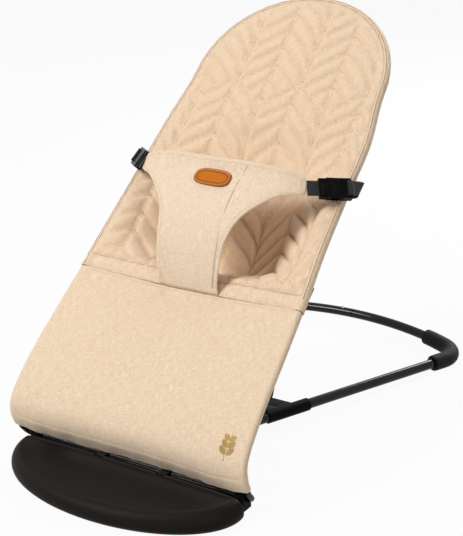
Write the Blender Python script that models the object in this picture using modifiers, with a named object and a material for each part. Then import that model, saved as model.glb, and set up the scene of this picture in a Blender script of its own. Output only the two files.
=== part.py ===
"""Baby bouncer: a steel base frame on a moulded foot plate, a sprung wire seat frame that turns on
the plate, a quilted cover with a three-point restraint panel, and a support bow that props the seat.

Metres, +Z up, +Y to the rear of the bouncer. Sizes are worked out from the seat hinge, and the whole
bouncer then hangs on one empty that puts the middle of its outline over the origin.
"""

import math

import bmesh
import bpy
import numpy as np
from mathutils import Matrix, Vector

# Clearance between pieces that rest on, or run in, each other
GAP = 0.0003

# Base frame
TUBE_DIAMETER = 0.014
TUBE_FRONT_Z = 0.0105
CORNER_X = 0.204
CORNER_Y = 0.539
CORNER_Z = 0.0095
CORNER_BEND = 0.036
BAR_BOW = 0.046
BAR_RISE = 0.008
SIDE_BEND_X = 0.0615
SIDE_CREST_Z = 0.0185
SIDE_BEND_Y = 0.180
SOCKET_BEND_Y = 0.030
TUBE_SOCKET_X = 0.052
SIDE_JOINT_AHEAD = 0.077
SWAGE_DIAMETER = 0.0112
SWAGE_LENGTH = 0.030
BUTTON_DIAMETER = 0.006
BUTTON_X = -0.018
GRIP_DIAMETER = 0.022
GRIP_START = 0.014
GRIP_LENGTH = 0.118

# Foot plate
PLATE_HALF_WIDTH = 0.168
PLATE_FRONT = 0.112
PLATE_MIDDLE_Y = -0.018
PLATE_REAR_Y = -0.0045
PLATE_WALL = 0.0022
PLATE_RIM_Z = 0.0262
PLATE_REAR_RISE = 0.17
TRAY_BOTTOM_Z = 0.0015
TRAY_THICKNESS = 0.0025
RIB_THICKNESS = 0.002
RIB_TOP_Z = 0.0150
SOCKET_DEPTH = 0.054
SHELF_REAR_Y = 0.013
SHELF_TOP_Z = 0.0210
SCREW_SHANK = 0.003
SCREW_HEAD = 0.007
FOOT_PAD_THICKNESS = 0.0012
SHELF_HALF_LENGTH = 0.1484
PLATE_SCREWS = [(-0.105, -0.045), (0.105, -0.045), (-0.030, -0.092), (0.030, -0.092)]

# Seat hinge and wire frame
HINGE_Z = 0.0235
WIRE_DIAMETER = 0.007
ELBOW_RADIUS = 0.010
BUSH_LENGTH = 0.013
BUSH_RADIUS = 0.0080
CLIP_X = 0.047
CLIP_LENGTH = 0.012
CLIP_WALL = 0.0021
CLIP_ROOM = 0.0004
CLIP_TAB_Z = 0.0268

# Side view of the wire frame, from its hem end to its top: distance back, height, half width.
SEAT_STATIONS = [
    (-0.0120, 0.0380, 0.1720),
    (-0.0225, 0.0620, 0.1725),
    (-0.0180, 0.0870, 0.1710),
    (0.0160, 0.1250, 0.1690),
    (0.0700, 0.1705, 0.1660),
    (0.1240, 0.2150, 0.1620),
    (0.1860, 0.2690, 0.1560),
    (0.2510, 0.3220, 0.1525),
    (0.3180, 0.3750, 0.1500),
    (0.3780, 0.4310, 0.1400),
    (0.4730, 0.5236, 0.1400),
]
WAIST_STATION = 5
ROUND_STATION = 9

# Rows of points along the wire: up to the waist, on to the rounded top, and round one half of it
LOWER_ROWS = 12
UPPER_ROWS = 15
ROUND_ROWS = 9

# Soft cover
CLOTH = 0.0014
TUNNEL_EASE = 0.0005
HEM_ABOVE_STATION = 0.001
HEM_ARCH = 0.007
LOWER_SAG = 0.005
WAIST_SAG = 0.0055
FRONT_FLANGE = 0.0065
BACK_FLANGE = 0.0078
SLING_INSET = 0.0072
SLING_LEVEL = -0.0018
SLING_SLACK = 0.006
POCKET_START = 0.018
POCKET_DEPTH = 0.088
POCKET_LENGTH = 0.265
POCKET_SIDE_POWER = 1.6
PAD_INSET = 0.0045
PAD_LEVEL = 0.0022
PAD_THICKNESS = 0.0036
PAD_CROWN = 0.0025
QUILT_COLUMNS = 6
QUILT_PITCH = 0.0235
QUILT_SLANT = 0.030
QUILT_DEPTH = 0.0036
WAIST_BAND = 0.020

# Restraint panel, by distance above the waist seam: half width and height off the seat
PANEL_SHAPE = [
    (0.0015, 0.0448, 0.0016),
    (0.008, 0.0446, 0.017),
    (0.018, 0.0460, 0.0275),
    (0.031, 0.0476, 0.035),
    (0.0515, 0.0501, 0.0425),
    (0.0746, 0.0561, 0.0485),
    (0.090, 0.0640, 0.0508),
    (0.1056, 0.0769, 0.052),
    (0.1254, 0.0985, 0.0535),
    (0.1388, 0.1213, 0.0535),
    (0.1484, 0.1226, 0.056),
    (0.1592, 0.1165, 0.0625),
]
PANEL_THICKNESS = 0.004
PANEL_EAR_DROP = 0.3
PATCH_SIZE = (0.053, 0.024)
PATCH_LEVEL = 0.1315
PATCH_THICKNESS = 0.0016

# Straps and buckles
STRAP_LEVEL = 0.148
LOOP_LEVEL = 0.183
STRAP_WIDTH = 0.020
STRAP_THICKNESS = 0.0013
STRAP_PLANE = 0.0006
PLUG_START = 0.0160
PLUG_BASE = 0.0085
PLUG_THICKNESS = 0.0068
SOCKET_LENGTH = 0.0335
BUCKLE_WIDTH = 0.027
BUCKLE_THICKNESS = 0.009
PRONG_LENGTH = 0.0140
BUCKLE_SLOT_FROM_END = 0.0055
PRONG_LAYER = (-0.0030, -0.0004)

# Support bow and its adjuster
BOW_DIAMETER = 0.007
BOW_PIVOT_ABOVE_WAIST = 0.030
BOW_PIVOT_BEHIND = 0.0150
BOW_TOP_HALF_WIDTH = 0.1370
BOW_PIN_LENGTH = 0.010
SADDLE_HUB_LENGTH = 0.0095
PEG_RADIUS = 0.0025
BOW_FOOT_HALF_WIDTH = 0.055
BOW_BEND = 0.018
FOOT_SLEEVE_DIAMETER = 0.0096
FOOT_SLEEVE_LENGTH = 0.064
FOOT_Z = 0.0275
ADJUSTER_FRONT_Y = 0.132
ADJUSTER_REAR_Y = 0.258
ADJUSTER_TOP_Z = 0.0255
ADJUSTER_WALL = 0.0030
CLAMP_FRONT_Y = 0.200
CLAMP_REAR_Y = 0.265
CLAMP_WALL = 0.0018
RAMP_START_Y = 0.2015
RAMP_SLOPE = 0.150
NOTCHES = ((0.232, 0.0252), (0.196, 0.0275), (0.160, 0.0275))
NOTCH_HALF_LENGTH = 0.068
ADJUSTER_DEPTH = 0.0105
ADJUSTER_SCREW_X = 0.058
ADJUSTER_SCREW_Y = 0.2145

WIRE_RADIUS = WIRE_DIAMETER / 2
TUNNEL_RADIUS = WIRE_RADIUS + TUNNEL_EASE + CLOTH
TUBE_RADIUS = TUBE_DIAMETER / 2
SIDE_SLOPE = (CORNER_X - SIDE_BEND_X) / (CORNER_Y - SIDE_BEND_Y)
SIDE_JOINT_Y = CORNER_Y - SIDE_JOINT_AHEAD
REAR_REACH = CORNER_Y + BAR_BOW + TUBE_RADIUS
MIDDLE_SHIFT = (PLATE_FRONT - REAR_REACH) / 2


def clear_scene():
    for old in list(bpy.data.objects):
        bpy.data.objects.remove(old, do_unlink=True)


clear_scene()
parts = bpy.data.collections.new("baby_bouncer")
cutters = bpy.data.collections.new("cutters")
for collection in (parts, cutters):
    bpy.context.scene.collection.children.link(collection)
cutters.hide_render = True

ORIGIN = bpy.data.objects.new("bouncer_middle", None)
ORIGIN.location = (0, MIDDLE_SHIFT, 0)
parts.objects.link(ORIGIN)


def material(name, hex_colour, roughness, metallic=0.0):
    """A plain finish from an sRGB hex colour."""
    mat = bpy.data.materials.new(name)
    mat.use_nodes = True
    shader = mat.node_tree.nodes["Principled BSDF"]
    srgb = [int(hex_colour[i : i + 2], 16) / 255 for i in (1, 3, 5)]
    linear = [c / 12.92 if c <= 0.04045 else ((c + 0.055) / 1.055) ** 2.4 for c in srgb]
    shader.inputs["Base Color"].default_value = (*linear, 1)
    shader.inputs["Roughness"].default_value = roughness
    shader.inputs["Metallic"].default_value = metallic
    return mat


BLACK_PLASTIC = material("black_moulded_plastic", "#1B1A19", 0.42)
BLACK_ENAMEL = material("black_enamelled_steel", "#0E0E0F", 0.18, 0.2)
BLACK_RUBBER = material("black_rubber", "#161616", 0.75)
BLACK_WEBBING = material("black_webbing", "#121213", 0.85)
SAND_CLOTH = material("sand_cotton", "#D9C09A", 0.9)
QUILTED_CLOTH = material("quilted_sand_cotton", "#D6BC98", 0.9)
TAN_LEATHER = material("tan_leather", "#D08A34", 0.55)
ZINC_STEEL = material("zinc_plated_steel", "#9A9A98", 0.35, 0.9)


def place(obj, mat, parent=None):
    """Links a piece under the bouncer, or under the empty that it turns with."""
    obj.data.materials.append(mat)
    parts.objects.link(obj)
    obj.parent = parent or ORIGIN
    return obj


def helper(obj):
    """Links a cutter or a shape that a Boolean joins on."""
    cutters.objects.link(obj)
    obj.parent = ORIGIN
    obj.hide_render = True
    obj.display_type = "WIRE"
    return obj


def mesh_object(name, bm):
    bmesh.ops.recalc_face_normals(bm, faces=bm.faces[:])
    mesh = bpy.data.meshes.new(name)
    bm.to_mesh(mesh)
    bm.free()
    return bpy.data.objects.new(name, mesh)


def boolean(obj, other, operation="DIFFERENCE"):
    step = obj.modifiers.new(f"{operation.lower()}_{other.name}", "BOOLEAN")
    step.operation = operation
    step.object = other
    return obj


def bevel(obj, width, segments=2):
    step = obj.modifiers.new("rounded_edges", "BEVEL")
    step.width = width
    step.segments = segments
    step.limit_method = "ANGLE"
    step.angle_limit = math.radians(40)
    return obj


def thicken(obj, thickness, offset):
    step = obj.modifiers.new("thickness", "SOLIDIFY")
    step.thickness = thickness
    step.offset = offset
    return obj


def smooth(obj, angle=40):
    obj.data.shade_smooth()
    obj.data.set_sharp_from_angle(angle=math.radians(angle))
    return obj


def box(name, low, high):
    """A box between two corners."""
    bm = bmesh.new()
    bmesh.ops.create_cube(bm, size=1)
    size = Vector(high) - Vector(low)
    middle = (Vector(high) + Vector(low)) / 2
    for vertex in bm.verts:
        vertex.co = Vector([c * s for c, s in zip(vertex.co, size)]) + middle
    return mesh_object(name, bm)


def rod(name, start, end, radius, sides=20, end_radius=None):
    """A cylinder, or a cone, between two points."""
    start, end = Vector(start), Vector(end)
    along = end - start
    bm = bmesh.new()
    bmesh.ops.create_cone(
        bm,
        cap_ends=True,
        segments=sides,
        radius1=radius,
        radius2=radius if end_radius is None else end_radius,
        depth=along.length,
    )
    turn = along.to_track_quat("Z", "Y").to_matrix().to_4x4()
    bmesh.ops.transform(bm, matrix=Matrix.Translation((start + end) / 2) @ turn, verts=bm.verts[:])
    return mesh_object(name, bm)


def wire(name, points, radius, cyclic=False, roundness=2):
    """A round bar along points, as a curve with a bevel and filled caps."""
    curve = bpy.data.curves.new(name, "CURVE")
    curve.dimensions = "3D"
    curve.bevel_depth = radius
    curve.bevel_resolution = roundness
    curve.use_fill_caps = True
    spline = curve.splines.new("POLY")
    spline.points.add(len(points) - 1)
    for target, point in zip(spline.points, points):
        target.co = (*point, 1)
    spline.use_cyclic_u = cyclic
    return bpy.data.objects.new(name, curve)


def meshed(obj):
    """The same curve as a mesh, for a piece that is cut or that cuts."""
    bpy.context.scene.collection.objects.link(obj)
    bpy.context.view_layer.update()
    mesh = bpy.data.meshes.new_from_object(obj.evaluated_get(bpy.context.evaluated_depsgraph_get()))
    bm = bmesh.new()
    bm.from_mesh(mesh)
    bmesh.ops.remove_doubles(bm, verts=bm.verts[:], dist=0.00001)
    name, where = obj.name, obj.matrix_world.copy()
    bpy.data.objects.remove(obj, do_unlink=True)
    made = mesh_object(name, bm)
    made.matrix_world = where
    return made


def extruded(name, corners, along):
    """A flat outline, given as points, carried along a vector."""
    bm = bmesh.new()
    face = bm.faces.new([bm.verts.new(corner) for corner in corners])
    grown = bmesh.ops.extrude_face_region(bm, geom=[face])["geom"]
    moved = [v for v in grown if isinstance(v, bmesh.types.BMVert)]
    bmesh.ops.translate(bm, verts=moved, vec=along)
    return mesh_object(name, bm)


def prism(name, outline, low_x, high_x):
    """An outline in the side view (back, up), carried across from low_x to high_x."""
    return extruded(name, [(low_x, y, z) for y, z in outline], (high_x - low_x, 0, 0))


def slab(name, plan, low_z, high_z):
    """An outline in plan (across, back), carried up from low_z to high_z."""
    return extruded(name, [(x, y, low_z) for x, y in plan], (0, 0, high_z - low_z))


def sheet(name, columns, rows, shape):
    """A grid whose points shape(u, v) places, with u and v from -1 to 1."""
    bm = bmesh.new()
    bmesh.ops.create_grid(bm, x_segments=columns, y_segments=rows, size=1)
    for vertex in bm.verts:
        vertex.co = shape(vertex.co.x, vertex.co.y)
    mesh = bpy.data.meshes.new(name)
    bmesh.ops.remove_doubles(bm, verts=bm.verts[:], dist=0.00005)
    bm.to_mesh(mesh)
    bm.free()
    return bpy.data.objects.new(name, mesh)


def arc(centre, radius, start, end, steps):
    """Points on an arc in the side view, angles in degrees from straight back."""
    angles = np.radians(np.linspace(start, end, steps))
    return [(centre[0] + radius * math.cos(a), centre[1] + radius * math.sin(a)) for a in angles]


def rounded_path(corners, radii, steps=7):
    """A path through corners, each turned with its own radius."""
    corners = [Vector(c) for c in corners]
    points = [corners[0]]
    for before, corner, after, radius in zip(corners, corners[1:], corners[2:], radii):
        way_in = (corner - before).normalized()
        way_out = (after - corner).normalized()
        turn = way_in.angle(way_out)
        reach = radius * math.tan(turn / 2)
        centre = corner + (way_out - way_in).normalized() * (radius / math.cos(turn / 2))
        first = corner - way_in * reach - centre
        side = way_in * radius
        for step in range(steps):
            angle = turn * step / (steps - 1)
            points.append(centre + first * math.cos(angle) + side * math.sin(angle))
    return points + [corners[-1]]


# The seat surface


def catmull_rom(points, per_span):
    """A smooth curve through points, which it passes at even steps of its own."""
    rows = np.array(points, float)
    ends = np.vstack([2 * rows[0] - rows[1], rows, 2 * rows[-1] - rows[-2]])
    curve = []
    for p0, p1, p2, p3 in zip(ends, ends[1:], ends[2:], ends[3:]):
        for t in np.arange(per_span) / per_span:
            straight = p1 * 2 + (p2 - p0) * t
            bend = (p0 * 2 - p1 * 5 + p2 * 4 - p3) * t**2
            twist = (p1 * 3 - p0 - p2 * 3 + p3) * t**3
            curve.append((straight + bend + twist) / 2)
    return np.array(curve + [rows[-1]])


SPAN_STEPS = 24
SEAT_CURVE = catmull_rom([(y, z) for y, z, _ in SEAT_STATIONS], SPAN_STEPS)
SEAT_LENGTHS = np.concatenate([[0], np.cumsum(np.linalg.norm(np.diff(SEAT_CURVE, axis=0), axis=1))])
STATION_LENGTHS = SEAT_LENGTHS[::SPAN_STEPS]
SEAT_LENGTH = SEAT_LENGTHS[-1]
WAIST = STATION_LENGTHS[WAIST_STATION]
ROUND_START = STATION_LENGTHS[ROUND_STATION]
WIDTH_CURVE = catmull_rom([(s, w[2]) for s, w in zip(STATION_LENGTHS, SEAT_STATIONS)], SPAN_STEPS)


def half_width(s):
    """Half the distance between the wires, at a length s along them from the hem."""
    if s <= ROUND_START:
        return float(np.interp(s, WIDTH_CURVE[:, 0], WIDTH_CURVE[:, 1]))
    share = min((s - ROUND_START) / (SEAT_LENGTH - ROUND_START), 1)
    return SEAT_STATIONS[ROUND_STATION][2] * math.sqrt(1 - share**2)


def seat_point(x, s, h=0.0):
    """A point x across and s up the seat, h off the surface through the wires towards the child."""
    y = np.interp(s, SEAT_LENGTHS, SEAT_CURVE[:, 0])
    z = np.interp(s, SEAT_LENGTHS, SEAT_CURVE[:, 1])
    step = 0.006
    low, high = max(s - step, 0), min(s + step, SEAT_LENGTH)
    dy = np.interp(high, SEAT_LENGTHS, SEAT_CURVE[:, 0]) - np.interp(low, SEAT_LENGTHS, SEAT_CURVE[:, 0])
    dz = np.interp(high, SEAT_LENGTHS, SEAT_CURVE[:, 1]) - np.interp(low, SEAT_LENGTHS, SEAT_CURVE[:, 1])
    size = math.hypot(dy, dz)
    return Vector((x, y - h * dz / size, z + h * dy / size))


def inner_width(s, inset):
    """Half the width inside a line that keeps an even distance from the wire."""
    if s <= ROUND_START:
        return half_width(s) - inset
    share = min((s - ROUND_START) / (SEAT_LENGTH - inset - ROUND_START), 1)
    return (SEAT_STATIONS[ROUND_STATION][2] - inset) * math.sqrt(1 - share**2)


def pocket(x, s):
    """How far the cover hangs behind the wires, where the child sits."""
    up = (s - WAIST - POCKET_START) / (POCKET_LENGTH - POCKET_START)
    if not 0 < up < 1:
        return 0.0
    across = min(abs(x) / inner_width(s, SLING_INSET), 1)
    rise = min(up / 0.22, 1)
    fall = min((1 - up) / 0.78, 1)
    along = math.sin(rise * math.pi / 2) ** 2 * math.sin(fall * math.pi / 2) ** 1.5
    return POCKET_DEPTH * along * (1 - across**2) ** POCKET_SIDE_POWER


def waist_sag(x, s):
    """How far the cover hangs below the wire's plane at the waist seam."""
    across = min(abs(x) / half_width(s), 1)
    return WAIST_SAG * (1 - across**2) ** 2 * math.exp(-(((s - WAIST) / 0.035) ** 2))


def edge_distance(x, s, inset):
    """How far a point lies inside the line that keeps a distance from the wire."""
    if s <= ROUND_START:
        return inner_width(s, inset) - abs(x)
    wide = SEAT_STATIONS[ROUND_STATION][2] - inset
    tall = SEAT_LENGTH - ROUND_START - inset
    return (1 - math.hypot(x / wide, (s - ROUND_START) / tall)) * tall


def cover_point(x, s, h):
    """A point h off the surface that the cover follows."""
    return seat_point(x, s, h - waist_sag(x, s) - pocket(x, s))


def row_length(v, start, end):
    """Lengths of a sheet's rows: even up to the rounded top, then by even angles round it."""
    share = (v + 1) / 2
    top_share = 0.30
    if share <= 1 - top_share:
        return start + (ROUND_START - start) * share / (1 - top_share)
    angle = (share - 1 + top_share) / top_share * math.pi / 2
    return ROUND_START + (end - ROUND_START) * math.sin(angle)


# Seat frame

HINGE = Vector((0, 0, HINGE_Z))
turn_axis = bpy.data.objects.new("seat_hinge_axis", None)
turn_axis.location = HINGE
turn_axis.parent = ORIGIN
parts.objects.link(turn_axis)


def on_seat(obj, mat):
    """Places a piece that turns with the seat: its parent empty stands on the hinge."""
    place(obj, mat, turn_axis)
    obj.matrix_parent_inverse = Matrix.Translation(-HINGE)
    return obj


def side_wire_points():
    """The right half of the wire loop, from the middle of its hinge bar to the middle of its top."""
    hem_x = SEAT_STATIONS[0][2]
    corner = Vector((hem_x, 0, HINGE_Z))
    hem = seat_point(hem_x, 0)
    points = rounded_path([(0, 0, HINGE_Z), corner, hem], [ELBOW_RADIUS], 6)[:-1]
    lengths = [*np.linspace(0, WAIST, LOWER_ROWS + 1), *np.linspace(WAIST, ROUND_START, UPPER_ROWS + 1)[1:-1]]
    for s in lengths:
        points.append(seat_point(half_width(s), s))
    for angle in np.linspace(0, math.pi / 2, ROUND_ROWS + 1)[:-1]:
        s = ROUND_START + (SEAT_LENGTH - ROUND_START) * math.sin(angle)
        points.append(seat_point(half_width(s), s))
    return points + [seat_point(0, SEAT_LENGTH)]


RIGHT_WIRE = side_wire_points()
LEFT_WIRE = [Vector((-p.x, p.y, p.z)) for p in RIGHT_WIRE[-2:0:-1]]
on_seat(wire("seat_frame", RIGHT_WIRE + LEFT_WIRE, WIRE_RADIUS, cyclic=True), BLACK_ENAMEL)


# Base frame tubes


def side_x(y):
    """Where the straight part of the side tube lies, at a distance y behind the hinge."""
    return CORNER_X - SIDE_SLOPE * (CORNER_Y - y)


def side_z(y):
    """The tubes rise from the rear grips to a crest over the adjuster."""
    return CORNER_Z + (SIDE_CREST_Z - CORNER_Z) * (CORNER_Y - y) / (CORNER_Y - CLAMP_FRONT_Y)


def side_point(y, side):
    return Vector((side * side_x(y), y, side_z(y)))


def rear_bar_point(x):
    share = 1 - (x / CORNER_X) ** 2
    return Vector((x, CORNER_Y + BAR_BOW * share, CORNER_Z + BAR_RISE * share))


def corner_points(side):
    """The rear corner, from the side tube round to the bar."""
    start = side_point(SIDE_JOINT_Y, side)
    corner = Vector((side * CORNER_X, CORNER_Y, CORNER_Z))
    leave = rear_bar_point(side * (CORNER_X - 0.055))
    return rounded_path([start, corner, leave], [CORNER_BEND], 9)


def tube_with_bore(name, path, bores):
    """A tube whose open ends hold the swages of its neighbours."""
    tube = meshed(wire(name, path, TUBE_RADIUS, roundness=3))
    for number, (end, inner) in enumerate(bores):
        direction = (inner - end).normalized()
        hole = rod(
            f"{name}_bore_{number}",
            end - direction * 0.004,
            end + direction * (SWAGE_LENGTH + 0.002),
            SWAGE_DIAMETER / 2 + GAP,
            16,
        )
        boolean(tube, helper(hole))
    return place(smooth(tube), BLACK_ENAMEL)


def side_tube(name, side):
    bend = side_point(SIDE_BEND_Y, side)
    socket = Vector((side * TUBE_SOCKET_X, SOCKET_BEND_Y, TUBE_FRONT_Z))
    front = Vector((side * TUBE_SOCKET_X, -SOCKET_DEPTH + 0.004, TUBE_FRONT_Z))
    back = side_point(SIDE_JOINT_Y - GAP, side)
    path = rounded_path([front, socket, bend, back], [0.12, 0.08], 6)
    return tube_with_bore(name, path, [(back, bend)])


def rear_path(side):
    """One rear tube's route: from the side joint round the corner to the middle of the bar."""
    bar = [rear_bar_point(side * x) for x in np.linspace(CORNER_X - 0.070, 0, 6)]
    return corner_points(side) + bar


def stretch(path, start, end):
    """The part of a path between two lengths along it."""
    lengths = [0.0]
    for near, far in zip(path, path[1:]):
        lengths.append(lengths[-1] + (far - near).length)

    def at(length):
        return Vector([float(np.interp(length, lengths, [p[i] for p in path])) for i in range(3)])

    inner = [p for p, length in zip(path, lengths) if start + 0.002 < length < end - 0.002]
    return [at(start)] + inner + [at(end)]


def rear_tube(name, side):
    path = rear_path(side)
    bar_end = path[-1]
    inward = Vector((-side, 0, 0))
    if side > 0:
        path[-1] = bar_end - inward * GAP * 3
    tube = meshed(wire(name, path, TUBE_RADIUS, roundness=3))
    start = path[0]
    along = (side_point(SIDE_BEND_Y, side) - start).normalized()
    plug = rod(f"{name}_swage", start - along * 0.006, start + along * SWAGE_LENGTH, SWAGE_DIAMETER / 2, 16)
    boolean(tube, helper(plug), "UNION")
    if side > 0:
        tip = bar_end + inward * SWAGE_LENGTH
        tongue = rod(f"{name}_tongue", bar_end - inward * 0.006, tip, SWAGE_DIAMETER / 2, 16)
        boolean(tube, helper(tongue), "UNION")
    else:
        bore = rod(
            f"{name}_bore",
            bar_end + Vector((0.004, 0, 0)),
            bar_end - Vector((SWAGE_LENGTH + 0.002, 0, 0)),
            SWAGE_DIAMETER / 2 + GAP,
            16,
        )
        boolean(tube, helper(bore))
    button_top = Vector((BUTTON_X, bar_end.y, bar_end.z + TUBE_RADIUS + 0.01))
    button_low = button_top - Vector((0, 0, 0.0200))
    hole = rod(f"{name}_button_hole", button_top, button_low, BUTTON_DIAMETER / 2 + GAP, 16)
    boolean(tube, helper(hole))
    return place(smooth(tube), BLACK_ENAMEL)


SIDES = {"left": -1, "right": 1}
for word, side in SIDES.items():
    side_tube(f"side_tube_{word}", side)
    rear_tube(f"rear_tube_{word}", side)

bar_middle = rear_bar_point(0)
button_base = Vector((BUTTON_X, bar_middle.y, bar_middle.z + TUBE_RADIUS - 0.0062))
button = rod("rear_tube_button", (0, 0, 0), (0, 0, 0.0078), BUTTON_DIAMETER / 2, 16)
button.location = button_base
place(smooth(bevel(button, 0.0008)), ZINC_STEEL)


def corner_grip(name, side):
    """A rubber sleeve pushed round the rear corner."""
    path = rear_path(side)
    covered = stretch(path, GRIP_START, GRIP_START + GRIP_LENGTH)
    grip = meshed(wire(name, covered, GRIP_DIAMETER / 2, roundness=3))
    longer = stretch(path, GRIP_START - 0.01, GRIP_START + GRIP_LENGTH + 0.01)
    bore = meshed(wire(f"{name}_bore", longer, TUBE_RADIUS + GAP, roundness=5))
    boolean(grip, helper(bore))
    floor = box(f"{name}_floor", (-0.3, CORNER_Y - 0.2, -0.02), (0.3, CORNER_Y + 0.1, 0))
    boolean(grip, helper(floor))
    return place(smooth(grip), BLACK_RUBBER)


for word, side in SIDES.items():
    corner_grip(f"corner_grip_{word}", side)


# Foot plate


def plate_outline(inset, count=40):
    """The D-shaped plan, an ellipse in front and a squarer curve behind, drawn in by an inset."""
    wide = PLATE_HALF_WIDTH - inset
    front = PLATE_FRONT + PLATE_MIDDLE_Y - inset
    rear = PLATE_REAR_Y - PLATE_MIDDLE_Y - inset
    points = []
    for angle in np.linspace(0, 2 * math.pi, count, endpoint=False):
        sine, cosine = math.sin(angle), math.cos(angle)
        if cosine >= 0:
            points.append((wide * sine, PLATE_MIDDLE_Y - front * cosine))
        else:
            power = 2 / 3.2
            across = math.copysign(abs(sine) ** power, sine)
            points.append((wide * across, PLATE_MIDDLE_Y + rear * abs(cosine) ** power))
    return points


def plate_height(z, y):
    """Heights grow towards the hinge, where the plate is thickest."""
    depth = (y + PLATE_FRONT) / (PLATE_FRONT + PLATE_REAR_Y)
    return z * (1 + PLATE_REAR_RISE * min(max(depth, 0), 1))


def ring_stack(name, rings):
    """A loft through rings of points, closed over the last one."""
    bm = bmesh.new()
    loops = [[bm.verts.new(point) for point in ring] for ring in rings]
    for low, high in zip(loops, loops[1:]):
        for a, b, c, d in zip(low, low[1:] + low[:1], high[1:] + high[:1], high):
            bm.faces.new((a, b, c, d))
    bm.faces.new(loops[-1])
    return mesh_object(name, bm)


RIM_PROFILE = [
    (0.0042, 0.0030),
    (0.0010, 0.0070),
    (0.0000, 0.0125),
    (0.0016, 0.0185),
    (0.0055, 0.0235),
    (0.0115, PLATE_RIM_Z),
    (0.0190, 0.0250),
    (0.0270, 0.0243),
]


def foot_plate_cover():
    """The upper shell: a rolled rim, a flat tread, screw bosses, and openings towards the hinge."""
    rings = []
    for inset, z in RIM_PROFILE:
        near_rear = min(inset, 0.0065)
        ring = []
        for (x, y), (_, rear_y) in zip(plate_outline(inset), plate_outline(near_rear)):
            kept_y = max(y, rear_y) if y > PLATE_MIDDLE_Y and inset > near_rear else y
            ring.append((x, kept_y, plate_height(z, y)))
        rings.append(ring)
    cover = thicken(ring_stack("foot_plate_cover", rings), PLATE_WALL, -1)
    boss_foot = TRAY_BOTTOM_Z + TRAY_THICKNESS + GAP
    for number, (x, y) in enumerate(PLATE_SCREWS):
        top = plate_height(RIM_PROFILE[-1][1], y) - 0.0008
        boss = rod(f"cover_boss_{number}", (x, y, boss_foot), (x, y, top), 0.0042, 12)
        boolean(cover, helper(boss), "UNION")
        pilot = rod(f"cover_pilot_{number}", (x, y, 0), (x, y, 0.0150), SCREW_SHANK / 2 + GAP, 10)
        boolean(cover, helper(pilot))
    for word, side in SIDES.items():
        x = side * TUBE_SOCKET_X
        low, high = (x - 0.0118, PLATE_REAR_Y - 0.012, -0.001), (x + 0.0118, 0.004, 0.0203)
        boolean(cover, helper(box(f"cover_gate_{word}", low, high)))
        near, far = sorted((side * (SHELF_HALF_LENGTH - GAP), side * (SHELF_HALF_LENGTH + BUSH_LENGTH + 0.002)))
        room = box(f"cover_bush_room_{word}", (near, -BUSH_RADIUS - GAP, -0.001), (far, 0.02, 0.05))
        boolean(cover, helper(room))
    sill = box(
        "cover_sill",
        (-PLATE_HALF_WIDTH, PLATE_REAR_Y - 0.0092, -0.001),
        (PLATE_HALF_WIDTH, 0.02, TRAY_BOTTOM_Z + TRAY_THICKNESS + GAP),
    )
    boolean(cover, helper(sill))
    for word, side in SIDES.items():
        low, high = side * CLIP_X - CLIP_LENGTH / 2 - GAP, side * CLIP_X + CLIP_LENGTH / 2 + GAP
        reach = WIRE_RADIUS + CLIP_WALL + CLIP_ROOM
        window = box(f"cover_window_{word}", (low, PLATE_REAR_Y - 0.0100, CLIP_TAB_Z), (high, 0.02, 0.04))
        room = box(f"cover_clip_room_{word}", (low, -reach, SHELF_TOP_Z + GAP), (high, 0.02, CLIP_TAB_Z + 0.001))
        boolean(cover, helper(window))
        boolean(cover, helper(room))
    return place(smooth(cover, 50), BLACK_PLASTIC)


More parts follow.
